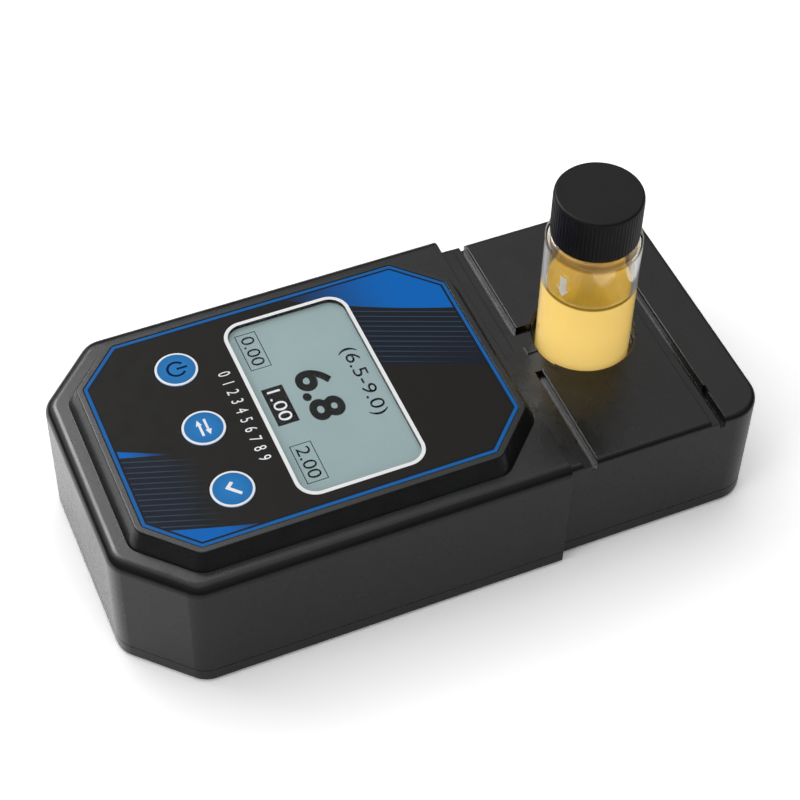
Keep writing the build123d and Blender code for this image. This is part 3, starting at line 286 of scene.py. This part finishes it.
def case_look():
    """Satin black case, whose end wall is polished enough to mirror the table in front of it."""
    look = moulded("case", CASE_BLACK)
    facing = look.parts(look.normal())[1]
    look.set(coat_weight=look.fade(facing, -0.6, -0.95), coat_roughness=0.16, coat_ior=1.5)
    return look


def rubber_look():
    colour = (0.012, 0.012, 0.012)
    return moulded("black_rubber", colour, grain=0.6 * MM, depth=0.03 * MM, rough=(0.7, 0.85))


def metal(name, colour):
    """Metal with fine lines across it, close together along its height."""
    look = Look(name)
    lines = look.noise(0.3 * MM, detail=4.0, stretch=(1.0, 1.0, 8.0))
    look.set(
        base_color=look.varied(colour, 0.1, 2 * MM),
        metallic=1.0,
        roughness=look.between(lines, 0.25, 0.4),
    )
    look.bump(lines, 0.004 * MM)
    return look


def film_inset(look, x, y):
    """Distance in millimetres from the film's edge to a point on it, for a rectangle with cut corners."""
    low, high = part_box("front_overlay")
    half_width = (high.x - low.x) / 2 / MM
    half_length = (high.y - low.y) / 2 / MM
    middle = (high.y + low.y) / 2 / MM
    across = look.maths("ABSOLUTE", x)
    along = look.maths("ABSOLUTE", look.maths("SUBTRACT", y, middle))
    side = look.maths("SUBTRACT", half_width, across)
    end = look.maths("SUBTRACT", half_length, along)
    reach = half_width + half_length - FILM_CUT
    corner = look.maths("SUBTRACT", reach, look.maths("ADD", across, along))
    corner = look.maths("DIVIDE", corner, math.sqrt(2))
    return look.maths("MINIMUM", look.maths("MINIMUM", side, end), corner)


def slanted_lines(look, x, y, slope, first, pitch, count, width):
    """Masks of a set of parallel lines and of the band that they fill, from the x of each at y = 0."""
    foot = look.maths("SUBTRACT", x, look.maths("MULTIPLY", y, slope))
    turn = look.maths("DIVIDE", look.maths("SUBTRACT", foot, first - pitch / 2), pitch)
    off = look.maths("ABSOLUTE", look.maths("SUBTRACT", look.maths("FRACT", turn), 0.5))
    off = look.maths("MULTIPLY", off, pitch)
    line = look.without(look.step(off, width / 2))
    start = look.step(foot, first - pitch / 2)
    stop = look.without(look.step(foot, first + (count - 0.5) * pitch))
    band = look.both(start, stop)
    return look.both(line, band), band


def past_curve(look, x, y, start, slope, bend):
    """How far a point lies beyond the curve x = start + slope * y - bend * y * y."""
    curve = look.maths("ADD", start, look.maths("MULTIPLY", y, slope))
    curve = look.maths("SUBTRACT", curve, look.maths("MULTIPLY", look.maths("MULTIPLY", y, y), bend))
    return look.maths("SUBTRACT", x, curve)


def film_look():
    """The printed front film: blue and navy border, blue corners, and bands of thin slanted stripes."""
    look = Look("overlay_film")
    x, y, _ = look.millimetres()
    inset = film_inset(look, x, y)
    colour = FILM_BLACK

    far_lines, far_band = slanted_lines(look, x, y, **FAR_STRIPES)
    far_end = look.fade(y, -6.0, -1.0)
    colour = look.mix(look.both(far_band, far_end), colour, STRIPE_NAVY)
    colour = look.mix(look.both(far_lines, far_end, look.fade(x, 6.0, -8.0)), colour, STRIPE_GREY)

    near_lines, near_band = slanted_lines(look, x, y, **NEAR_STRIPES)
    near_end = look.fade(y, -56.0, -68.0)
    colour = look.mix(look.both(near_band, near_end), colour, STRIPE_NAVY)
    colour = look.mix(look.both(near_lines, near_end), colour, STRIPE_GREY)

    wedge_left = look.step(past_curve(look, x, y, **WEDGE_LEFT), 0.0)
    wedge_right = look.without(look.step(past_curve(look, x, y, **WEDGE_RIGHT), 0.0))
    wedge = look.both(wedge_left, wedge_right, look.fade(y, -61.0, -74.0))
    colour = look.mix(wedge, colour, LABEL_BLUE)

    far_patch = look.without(look.step(past_curve(look, x, y, **FAR_PATCH), 0.0))
    colour = look.mix(look.both(far_patch, look.fade(y, -24.0, 12.0)), colour, LABEL_BLUE)
    near_patch = look.step(past_curve(look, x, y, **NEAR_PATCH), 0.0)
    colour = look.mix(look.both(near_patch, look.fade(y, -44.0, -60.0)), colour, LABEL_BLUE)

    colour = look.mix(look.without(look.step(inset, FILM_LINE_INNER)), colour, FILM_NAVY)
    colour = look.mix(look.without(look.step(inset, FILM_BAND)), colour, BAND_BLUE)
    colour = look.mix(look.without(look.step(inset, FILM_LINE_OUTER)), colour, FILM_NAVY)
    look.set(
        base_color=colour,
        roughness=look.between(look.noise(2 * MM), 0.42, 0.52),
        specular_ior_level=0.06,
    )
    look.bump(look.noise(0.12 * MM, detail=2.0), 0.003 * MM)
    return look


def box_distance(look, x, y, low, high, corner):
    """Distance outside a rectangle with round corners, negative inside it, in millimetres."""
    half = ((high.x - low.x) / 2 / MM, (high.y - low.y) / 2 / MM)
    middle = ((high.x + low.x) / 2 / MM, (high.y + low.y) / 2 / MM)
    past = [
        look.maths("SUBTRACT", look.maths("ABSOLUTE", look.maths("SUBTRACT", value, centre)), size - corner)
        for value, centre, size in zip((x, y), middle, half)
    ]
    outside = [look.maths("MAXIMUM", value, 0.0) for value in past]
    squares = [look.maths("MULTIPLY", value, value) for value in outside]
    length = look.maths("SQRT", look.maths("ADD", *squares))
    inside = look.maths("MINIMUM", look.maths("MAXIMUM", *past), 0.0)
    return look.maths("SUBTRACT", look.maths("ADD", length, inside), corner)


def window_look():
    """Clear window with a white frame printed round its edge."""
    look = Look("clear_window")
    x, y, _ = look.millimetres()
    distance = box_distance(look, x, y, *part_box("display_window"), WINDOW_CORNER)
    printed = look.step(distance, -WINDOW_FRAME)
    look.set(
        base_color=look.mix(printed, (0.97, 0.985, 0.985), PRINT_WHITE),
        transmission_weight=look.without(printed),
        roughness=look.maths("MULTIPLY", printed, 0.35),
        specular_ior_level=0.08,
        ior=1.1,
    )
    look.clear_to_light(look.without(printed))
    return look


def display_look():
    """Grey-green liquid crystal with a very fine weave of cells."""
    look = Look("display_glass")
    look.set(
        base_color=look.varied(DISPLAY_GREY, 0.04, 12 * MM),
        roughness=look.between(look.noise(0.2 * MM), 0.35, 0.45),
        specular_ior_level=0.04,
    )
    look.bump(look.noise(0.1 * MM), 0.001 * MM)
    return look


def key_look():
    """Blue keys with a white ring and a thin dark outline, repeated at the pitch of the keys."""
    look = Look("key_blue")
    x, y, z = look.millimetres()
    low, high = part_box("confirm_key")
    pitch = (high.x + low.x) / 2 / MM
    centre = (high.y + low.y) / 2 / MM
    key = look.maths("ROUND", look.maths("DIVIDE", x, pitch))
    off_x = look.maths("SUBTRACT", x, look.maths("MULTIPLY", key, pitch))
    off_y = look.maths("SUBTRACT", y, centre)
    squares = look.maths("ADD", look.maths("MULTIPLY", off_x, off_x), look.maths("MULTIPLY", off_y, off_y))
    radius = look.maths("SQRT", squares)
    ring = look.both(
        look.step(radius, KEY_RING_INNER),
        look.without(look.step(radius, KEY_RING_OUTER)),
        look.step(z, high.z / MM - KEY_RING_DEPTH),
    )
    colour = look.mix(look.fade(radius, 2.0, 5.0), KEY_BLUE, tuple(value * 0.86 for value in KEY_BLUE))
    look.set(
        base_color=look.mix(ring, colour, PRINT_WHITE),
        roughness=look.between(look.noise(1.5 * MM), 0.3, 0.4),
        specular_ior_level=0.06,
    )
    look.bump(look.noise(0.2 * MM, detail=3.0), 0.004 * MM)
    return look


def round_distance(look, x, y, centre):
    """Distance in millimetres from an upright axis."""
    off_x = look.maths("SUBTRACT", x, centre.x / MM)
    off_y = look.maths("SUBTRACT", y, centre.y / MM)
    squares = look.maths("ADD", look.maths("MULTIPLY", off_x, off_x), look.maths("MULTIPLY", off_y, off_y))
    return look.maths("SQRT", squares)


def glass_look():
    """Clear glass, whose inner wall is left to the surface of the sample where the sample wets it. Its rim
    is painted white where it is seen edge-on above the sample, and a band under the cap is painted shade.
    """
    look = Look("clear_glass")
    streaks = look.noise(6 * MM, stretch=(1.0, 1.0, 0.2))
    x, y, z = look.millimetres()
    low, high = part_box("sample_liquid")
    # Painted light: seen edge-on above the sample, the glass turns white and less clear, in place of the
    # bright studio seen through its rim
    rim = look.new("ShaderNodeLayerWeight")
    rim.inputs["Blend"].default_value = 0.5
    painted_rim_white = look.both(look.fade(rim.outputs["Facing"], 0.6, 0.8), look.step(z, high.z / MM - 0.3, 0.6))
    clear = look.mix(streaks, (0.96, 0.965, 0.985), (0.985, 0.985, 1.0))
    # Painted shade: a tan band on the glass stands in for the shade under the cap
    shade = look.both(look.step(z, NECK_SHADE_LOW, 0.6), look.without(look.step(z, NECK_SHADE_HIGH, 0.6)))
    look.set(
        base_color=look.mix(look.maths("MULTIPLY", shade, 0.8), clear, (0.3, 0.22, 0.08)),
        transmission_weight=look.maths("SUBTRACT", 1.0, look.maths("MULTIPLY", painted_rim_white, 0.75)),
        roughness=0.0,
        ior=1.5,
    )
    look.bump(streaks, 0.004 * MM)
    wall = (high.x - low.x) / 2 / MM + WALL_REACH
    inner = look.without(look.step(round_distance(look, x, y, (low + high) / 2), wall))
    wet = look.both(inner, look.step(z, low.z / MM - WALL_REACH), look.without(look.step(z, high.z / MM)))
    look.clear_to_light(1.0, wet)
    return look


def liquid_look(name, colour, line, clear, ior):
    """Clear yellow sample with a painted glow in place of the light that fills it from all sides, and
    painted shade where it climbs the wall and below.
    """
    look = Look(name)
    x, y, z = look.millimetres()
    low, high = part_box("sample_liquid")
    # Painted shade: darker gold in the lowest 14 mm, fading out at 22 mm, where the sample stands in the
    # well, and darker gold where it climbs the wall
    painted_well_shade = tuple(value * share for value, share in zip(colour, (0.75, 0.66, 0.5)))
    shade = look.mix(look.fade(z, low.z / MM + 22.0, low.z / MM + 14.0), colour, painted_well_shade)
    shade = look.mix(look.fade(z, high.z / MM - line, high.z / MM - line / 2), shade, MENISCUS_PAINTED_SHADE)
    look.set(
        base_color=shade,
        transmission_weight=clear,
        subsurface_weight=0.6,
        subsurface_radius=(1.0, 1.0, 1.0),
        subsurface_scale=6 * MM,
        roughness=0.02,
        ior=ior,
        # Painted glow: the sample gives off light of its own colour
        emission_color=shade,
        emission_strength=PAINTED_SAMPLE_GLOW,
    )
    look.clear_to_light(0.6, tint=(0.98, 0.84, 0.45))
    return look


def cap_look():
    colour = (0.012, 0.0105, 0.0115)
    look = moulded("cap_black", colour, grain=0.25 * MM, depth=0.01 * MM, rough=(0.32, 0.42))
    look.set(specular_ior_level=0.2)
    return look


def board_look():
    """Green circuit board with a pattern of fine copper tracks under the mask."""
    look = Look("circuit_board")
    x, y, _ = look.millimetres()
    turn = look.maths("FRACT", look.maths("DIVIDE", look.maths("ADD", x, y), TRACK_PITCH))
    bent = look.maths("FRACT", look.maths("DIVIDE", x, TRACK_PITCH))
    picks = look.step(look.noise(9 * MM, detail=0.0), 0.5, 0.02)
    line = look.mix(picks, look.step(turn, 0.72, 0.05), look.step(bent, 0.72, 0.05))
    look.set(base_color=look.mix(line, (0.01, 0.1, 0.035), (0.02, 0.18, 0.06)), roughness=0.28)
    look.bump(line, 0.03 * MM)
    return look


def printed_look(name, colour):
    """Ink with a trace of the screen that it was printed through."""
    look = Look(name)
    look.set(
        base_color=look.varied(colour, 0.05, 1.5 * MM),
        roughness=look.between(look.noise(0.8 * MM), 0.4, 0.5),
        specular_ior_level=0.03,
    )
    look.bump(look.noise(0.15 * MM), 0.002 * MM)
    return look


def cell_look():
    """Battery sleeve in dark grey with a pale band at one end, by the length of each cell."""
    look = Look("cell_jacket")
    _, y, _ = look.millimetres()
    band = look.step(look.maths("FRACT", look.maths("DIVIDE", y, CELL_LENGTH)), 0.8, 0.02)
    look.set(
        base_color=look.mix(band, (0.05, 0.055, 0.06), (0.5, 0.36, 0.16)),
        metallic=0.6,
        roughness=look.between(look.noise(2 * MM), 0.28, 0.36),
    )
    return look


def filter_look():
    look = Look("filter_glass")
    look.set(
        base_color=look.varied((0.45, 0.2, 0.5), 0.1, 3 * MM),
        roughness=0.05,
        transmission_weight=0.6,
        ior=1.5,
    )
    return look


LOOKS = {
    "case": case_look(),
    "black_rubber": rubber_look(),
    "screw_steel": metal("screw_steel", (0.5, 0.5, 0.52)),
    "overlay_film": film_look(),
    "clear_window": window_look(),
    "display_glass": display_look(),
    "white_plastic": moulded("white_plastic", (0.72, 0.72, 0.7), rough=(0.3, 0.4)),
    "black_plastic": moulded("black_plastic", (0.012, 0.012, 0.012)),
    "key_blue": key_look(),
    "switch_metal": metal("switch_metal", (0.6, 0.6, 0.62)),
    "circuit_board": board_look(),
    "chip_black": moulded("chip_black", (0.018, 0.018, 0.019), grain=0.15 * MM, rough=(0.55, 0.65)),
    "ribbon_grey": moulded("ribbon_grey", (0.35, 0.35, 0.37), grain=0.8 * MM, rough=(0.4, 0.5)),
    "clear_resin": moulded("clear_resin", (0.8, 0.83, 0.86), rough=(0.08, 0.12)),
    "filter_glass": filter_look(),
    "cell_jacket": cell_look(),
    "contact_nickel": metal("contact_nickel", (0.66, 0.63, 0.56)),
    "clear_glass": glass_look(),
    "sample_yellow": liquid_look("sample_yellow", (0.85, 0.6, 0.18), 1.5, 0.08, 0.9),
    "cap_black": cap_look(),
}
for part in frame["record"]["subparts"]:
    mesh = nodes[part["node"]].data
    mesh.materials.clear()
    mesh.materials.append(LOOKS[part["material_slot"]].material)

# The top of the sample is a darker copy of its colour, painted shade for the dark well seen through it
SHADED_SAMPLE_TOP = liquid_look("sample_top", (0.36, 0.235, 0.03), 0.3, 0.2, 1.34)
INKS = {
    "white": printed_look("ink_white", PRINT_WHITE),
    "black": printed_look("ink_black", PRINT_BLACK),
    "navy": printed_look("ink_navy", SYMBOL_NAVY),
    "pale": printed_look("ink_pale", (0.9, 0.86, 0.74)),
}


# Flat prints
def as_mesh(curve_object, name):
    """Turns a filled curve or text into a mesh object, and removes the curve."""
    bpy.context.scene.collection.objects.link(curve_object)
    bpy.context.view_layer.update()
    graph = bpy.context.evaluated_depsgraph_get()
    mesh = bpy.data.meshes.new_from_object(curve_object.evaluated_get(graph))
    mesh.name = name
    bpy.data.objects.remove(curve_object)
    obj = bpy.data.objects.new(name, mesh)
    bpy.context.scene.collection.objects.link(obj)
    return obj


def finish_print(obj, ink, body):
    obj.data.materials.clear()
    obj.data.materials.append(INKS[ink].material)
    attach(obj, body)
    return obj


def printed_text(name, text, box, z, ink, slot, body, weight=0.0):
    """Numbers fitted to a box (x low, y low, x high, y high) in millimetres, one ink thickness above z."""
    curve = bpy.data.curves.new(name, "FONT")
    curve.body = text
    curve.size = 10 * MM
    curve.offset = weight * MM
    curve.resolution_u = 6
    curve.extrude = PRINT_THICK / 2
    obj = as_mesh(bpy.data.objects.new(name, curve), name)
    xs = [vertex.co.x for vertex in obj.data.vertices]
    ys = [vertex.co.y for vertex in obj.data.vertices]
    wide = (box[2] - box[0]) * MM / (max(xs) - min(xs))
    tall = (box[3] - box[1]) * MM / (max(ys) - min(ys))
    scale = Vector((wide, tall, 1.0))
    start = Vector((min(xs), min(ys), -PRINT_THICK / 2))
    for vertex in obj.data.vertices:
        vertex.co = (vertex.co - start) * scale + Vector((box[0] * MM, box[1] * MM, z))
    return finish_print(obj, ink, body)


def printed_shape(name, loops, z, ink, slot, body):
    """A flat shape from closed loops of points in millimetres. A loop inside another one is a hole."""
    curve = bpy.data.curves.new(name, "CURVE")
    curve.dimensions = "2D"
    curve.fill_mode = "BOTH"
    curve.extrude = PRINT_THICK / 2
    for loop in loops:
        spline = curve.splines.new("POLY")
        spline.points.add(len(loop) - 1)
        for point, (x, y) in zip(spline.points, loop):
            point.co = (x * MM, y * MM, 0.0, 1.0)
        spline.use_cyclic_u = True
    obj = as_mesh(bpy.data.objects.new(name, curve), name)
    obj.data.transform(Matrix.Translation((0.0, 0.0, z + PRINT_THICK / 2)))
    return finish_print(obj, ink, body)


def rectangle(x0, y0, x1, y1):
    return [(x0, y0), (x1, y0), (x1, y1), (x0, y1)]


def arc(centre, radius, start, end, steps=40):
    """Points on an arc, with its angles in degrees."""
    angles = [math.radians(start + (end - start) * i / steps) for i in range(steps + 1)]
    return [(centre[0] + radius * math.cos(a), centre[1] + radius * math.sin(a)) for a in angles]


DISPLAY_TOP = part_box("display_panel")[1].z
SEEN_THROUGH = (-0.85, 0.38)


def on_display(box):
    """A box as it appears on the window, moved to where it lies on the display below."""
    dx, dy = SEEN_THROUGH
    return (box[0] + dx, box[1] + dy, box[2] + dx, box[3] + dy)


def within_box(x0, y0, x1, y1):
    """The part of a printed box that its number fills."""
    return (x0 + 1.2, y0 + 1.1, x1 - 1.2, y1 - 1.1)


def display_prints():
    """A reading, its range, and three boxed numbers over the keys."""
    place = {"z": DISPLAY_TOP, "slot": "display_glass", "body": "case"}
    reading = on_display((-8.5, -26.0, 8.75, -16.6))
    printed_text("reading", "6.8", reading, ink="black", weight=0.35, **place)
    printed_text("reading_range", "(6.5-9.0)", on_display((-11.7, -12.2, 12.2, -7.2)), ink="black", **place)
    line = 0.22
    for name, text, left in (("left", "0.00", -26.1), ("right", "2.00", 13.5)):
        x0, y0, x1, y1 = on_display((left, -35.0, left + 12.7, -29.3))
        inner = rectangle(x0 + line, y0 + line, x1 - line, y1 - line)[::-1]
        printed_shape(f"{name}_box", [rectangle(x0, y0, x1, y1), inner], ink="black", **place)
        printed_text(f"{name}_box_number", text, within_box(x0, y0, x1, y1), ink="black", **place)
    x0, y0, x1, y1 = on_display((-6.4, -35.0, 6.4, -29.3))
    printed_shape("middle_box", [rectangle(x0, y0, x1, y1)], ink="black", **place)
    place["z"] = DISPLAY_TOP + PRINT_THICK
    printed_text("middle_box_number", "1.00", within_box(x0, y0, x1, y1), ink="white", **place)


def film_scale():
    """A row of plain numbers between the keys and the display."""
    film_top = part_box("front_overlay")[1].z
    printed_text(
        "film_numbers",
        "0  1  2  3  4  5  6  7  8  9",
        (-15.6, -43.2, 15.2, -40.0),
        film_top,
        "white",
        "overlay_film",
        "case",
    )


def key_prints():
    """A power sign, a pair of opposed arrows and a tick, one on each key."""
    low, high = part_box("select_key")
    y = (high.y + low.y) / 2 / MM
    pitch = (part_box("confirm_key")[1].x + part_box("confirm_key")[0].x) / 2 / MM
    place = {"z": high.z, "slot": "key_blue"}
    gap = 36
    ring = arc((-pitch, y), 2.6, 90 + gap, 450 - gap) + arc((-pitch, y), 1.95, 450 - gap, 90 + gap)
    printed_shape("power_sign_ring", [ring], ink="navy", body="power_button", **place)
    bar = rectangle(-pitch - 0.33, y + 0.1, -pitch + 0.33, y + 2.9)
    printed_shape("power_sign_bar", [bar], ink="navy", body="power_button", **place)
    for name, side in (("upper", 1), ("lower", -1)):
        arrow = [
            (-2.6 * side, y + 0.55 * side),
            (0.9 * side, y + 0.55 * side),
            (0.9 * side, y + 0.15 * side),
            (2.7 * side, y + 0.95 * side),
            (0.9 * side, y + 1.75 * side),
            (0.9 * side, y + 1.2 * side),
            (-2.6 * side, y + 1.2 * side),
        ]
        printed_shape(f"select_sign_{name}", [arrow], ink="white", body="select_button", **place)
    tick = [(-2.3, 0.1), (-1.7, 0.8), (-0.6, -0.4), (1.9, 2.0), (2.5, 1.4), (-0.6, -1.7)]
    tick = [(pitch + dx, y + dy) for dx, dy in tick]
    printed_shape("confirm_sign", [tick], ink="white", body="confirm_button", **place)


# Sample
def add_sample():
    """The sample, whose surface climbs the wall of the vial all round."""
    low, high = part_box("sample_liquid")
    middle = (low + high) / 2
    radius = (high.x - low.x) / 2
    corner = 1.5 * MM
    profile = [(0.0, low.z)]
    for x, z in arc((radius - corner, low.z + corner), corner, -90, 0, steps=8):
        profile.append((x, z))
    level = high.z - MENISCUS_RISE * MM
    climb = 14
    for i in range(climb + 1):
        share = 1 - i / climb
        inward = (1 - share) * MENISCUS_WIDTH * MM
        profile.append((radius - inward, level + MENISCUS_RISE * MM * share ** 2.5))
    profile.append((0.0, level))
    top_from = len(profile) - climb - 2
    turns = 128
    builder = bmesh.new()
    rings = []
    for x, z in profile:
        if x == 0.0:
            rings.append([builder.verts.new((middle.x, middle.y, z))])
            continue
        angles = [2 * math.pi * i / turns for i in range(turns)]
        rings.append(
            [builder.verts.new((middle.x + x * math.cos(a), middle.y + x * math.sin(a), z)) for a in angles]
        )
    for step, (first, second) in enumerate(zip(rings, rings[1:])):
        for i in range(turns):
            after = (i + 1) % turns
            corners = [
                first[i % len(first)],
                first[after % len(first)],
                second[after % len(second)],
                second[i % len(second)],
            ]
            face = builder.faces.new(list(dict.fromkeys(corners)))
            face.smooth = True
            face.material_index = 1 if step >= top_from else 0
    bmesh.ops.recalc_face_normals(builder, faces=builder.faces)
    mesh = bpy.data.meshes.new("sample")
    builder.to_mesh(mesh)
    builder.free()
    sample = bpy.data.objects.new("sample", mesh)
    bpy.context.scene.collection.objects.link(sample)
    mesh.materials.append(LOOKS["sample_yellow"].material)
    # The top faces take the copy of the sample with painted shade
    mesh.materials.append(SHADED_SAMPLE_TOP.material)
    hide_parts("sample_liquid")
    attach(sample, "vial")


def add_fill_arrow():
    """A small pale arrow printed on the outside of the glass, which points down to the sample."""
    low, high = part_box("vial_glass")
    middle = (low + high) / 2
    radius = (high.x - low.x) / 2 + PRINT_THICK
    half_widths = [(0.0, 0.0), (1.9, 3.0), (1.0, 3.0), (1.0, 6.9)]
    rows = []
    for (half, rise), (next_half, next_rise) in zip(half_widths, half_widths[1:]):
        count = 1 if rise == next_rise else 6
        for i in range(count):
            share = i / count
            rows.append((half + (next_half - half) * share, rise + (next_rise - rise) * share))
    rows.append(half_widths[-1])
    columns = 8
    builder = bmesh.new()
    grid = []
    for half, rise in rows:
        row = []
        for i in range(columns + 1):
            turn = ARROW_TURN + (2 * i / columns - 1) * half * MM / radius
            place = (
                middle.x + radius * math.cos(turn),
                middle.y + radius * math.sin(turn),
                ARROW_TIP * MM + rise * MM,
            )
            row.append(builder.verts.new(place))
        grid.append(row)
    for below, above in zip(grid, grid[1:]):
        for i in range(columns):
            builder.faces.new((below[i], below[i + 1], above[i + 1], above[i]))
    bmesh.ops.remove_doubles(builder, verts=builder.verts, dist=0.001 * MM)
    bmesh.ops.dissolve_degenerate(builder, edges=builder.edges, dist=0.001 * MM)
    mesh = bpy.data.meshes.new("fill_arrow")
    builder.to_mesh(mesh)
    builder.free()
    arrow = bpy.data.objects.new("fill_arrow", mesh)
    bpy.context.scene.collection.objects.link(arrow)
    thick = arrow.modifiers.new("thick", "SOLIDIFY")
    thick.thickness = PRINT_THICK
    thick.offset = -1.0
    finish_print(arrow, "pale", "vial")


display_prints()
film_scale()
key_prints()
add_sample()
add_fill_arrow()


# Camera, light and floor
def add_camera():
    back = Vector(
        (
            math.sin(CAMERA_AZIMUTH) * math.cos(CAMERA_ELEVATION),
            -math.cos(CAMERA_AZIMUTH) * math.cos(CAMERA_ELEVATION),
            math.sin(CAMERA_ELEVATION),
        )
    )
    right = Vector((math.cos(CAMERA_AZIMUTH), math.sin(CAMERA_AZIMUTH), 0.0))
    up = back.cross(right)
    rolled_right = right * math.cos(CAMERA_ROLL) + up * math.sin(CAMERA_ROLL)
    rolled_up = up * math.cos(CAMERA_ROLL) - right * math.sin(CAMERA_ROLL)
    data = bpy.data.cameras.new("camera")
    data.lens = CAMERA_LENS
    data.sensor_width = 36.0
    data.sensor_fit = "HORIZONTAL"
    data.shift_x, data.shift_y = CAMERA_SHIFT
    data.clip_start = 0.01
    camera = bpy.data.objects.new("camera", data)
    turn = Matrix((rolled_right, rolled_up, back)).transposed().to_4x4()
    camera.matrix_world = Matrix.Translation(CAMERA_PLACE) @ turn
    bpy.context.scene.collection.objects.link(camera)
    bpy.context.scene.camera = camera


def add_lamp(name, place, size, power, lights=True, mirrored=True):
    """A square soft box that faces the object, which may light it, be mirrored in it, or both."""
    data = bpy.data.lights.new(name, "AREA")
    data.shape = "SQUARE"
    data.size = size
    data.energy = power
    lamp = bpy.data.objects.new(name, data)
    lamp.location = place
    lamp.rotation_euler = (-Vector(place)).to_track_quat("-Z", "Y").to_euler()
    lamp.visible_diffuse = lights
    lamp.visible_glossy = mirrored
    bpy.context.scene.collection.objects.link(lamp)


def add_world():
    """Soft studio light from above that falls off towards the horizon."""
    world = bpy.data.worlds.new("studio")
    world.use_nodes = True
    bpy.context.scene.world = world
    tree = world.node_tree
    background = tree.nodes["Background"]
    background.inputs["Color"].default_value = (1.0, 1.0, 1.0, 1.0)
    place = tree.nodes.new("ShaderNodeTexCoord")
    parts = tree.nodes.new("ShaderNodeSeparateXYZ")
    tree.links.new(place.outputs["Generated"], parts.inputs[0])
    rise = tree.nodes.new("ShaderNodeMapRange")
    rise.interpolation_type = "SMOOTHSTEP"
    tree.links.new(parts.outputs[2], rise.inputs["Value"])
    rise.inputs["From Min"].default_value = HORIZON_HEIGHT
    rise.inputs["From Max"].default_value = 1.0
    rise.inputs["To Min"].default_value = HORIZON_LIGHT
    rise.inputs["To Max"].default_value = ZENITH_LIGHT
    rays = tree.nodes.new("ShaderNodeLightPath")
    eye = tree.nodes.new("ShaderNodeMath")
    eye.operation = "MAXIMUM"
    tree.links.new(rays.outputs["Is Camera Ray"], eye.inputs[0])
    tree.links.new(rays.outputs["Is Transmission Ray"], eye.inputs[1])
    shown = tree.nodes.new("ShaderNodeMix")
    tree.links.new(eye.outputs[0], shown.inputs["Factor"])
    tree.links.new(rise.outputs[0], shown.inputs[2])
    shown.inputs[3].default_value = 1.0
    tree.links.new(shown.outputs[0], background.inputs["Strength"])


def add_floor():
    """White table, a little brighter to the eye and in mirrors than to the light that it sends on."""
    look = Look("floor_white")
    rays = look.new("ShaderNodeLightPath")
    seen = look.maths("MAXIMUM", rays.outputs["Is Camera Ray"], rays.outputs["Is Transmission Ray"])
    seen = look.maths("MAXIMUM", seen, look.maths("MULTIPLY", rays.outputs["Is Glossy Ray"], TABLE_MIRRORED))
    plain = look.new("ShaderNodeBsdfDiffuse")
    look.put(plain.inputs["Color"], TABLE_WHITE)
    bright = look.new("ShaderNodeBsdfDiffuse")
    look.put(bright.inputs["Color"], TABLE_SEEN)
    mixed = look.new("ShaderNodeMixShader")
    look.put(mixed.inputs[0], seen)
    look.put(mixed.inputs[1], plain.outputs[0])
    look.put(mixed.inputs[2], bright.outputs[0])
    look.put(look.output.inputs["Surface"], mixed.outputs[0])
    mesh = bpy.data.meshes.new("floor")
    builder = bmesh.new()
    bmesh.ops.create_circle(builder, cap_ends=True, segments=96, radius=TABLE_RADIUS)
    builder.to_mesh(mesh)
    builder.free()
    floor = bpy.data.objects.new("floor", mesh)
    floor.data.materials.append(look.material)
    bpy.context.scene.collection.objects.link(floor)


add_camera()
add_lamp("softbox_edges", (-0.76, -0.22, 0.92), 0.42, 8.0, lights=False)
add_lamp("softbox_over", (-0.25, -0.1, 1.2), 1.3, 4.5)
add_lamp("softbox_left", (-0.9, -0.5, 0.8), 1.0, 4.0)
add_lamp("softbox_back", (-0.75, 0.53, 0.92), 0.9, 1.2)
add_lamp("softbox_front", (0.3, -1.1, 0.5), 0.8, 5.0, mirrored=False)
add_lamp("softbox_right", (1.0, 0.1, 0.6), 0.6, 2.0, mirrored=False)
add_world()
add_floor()

bpy.context.scene.view_settings.view_transform = "Standard"
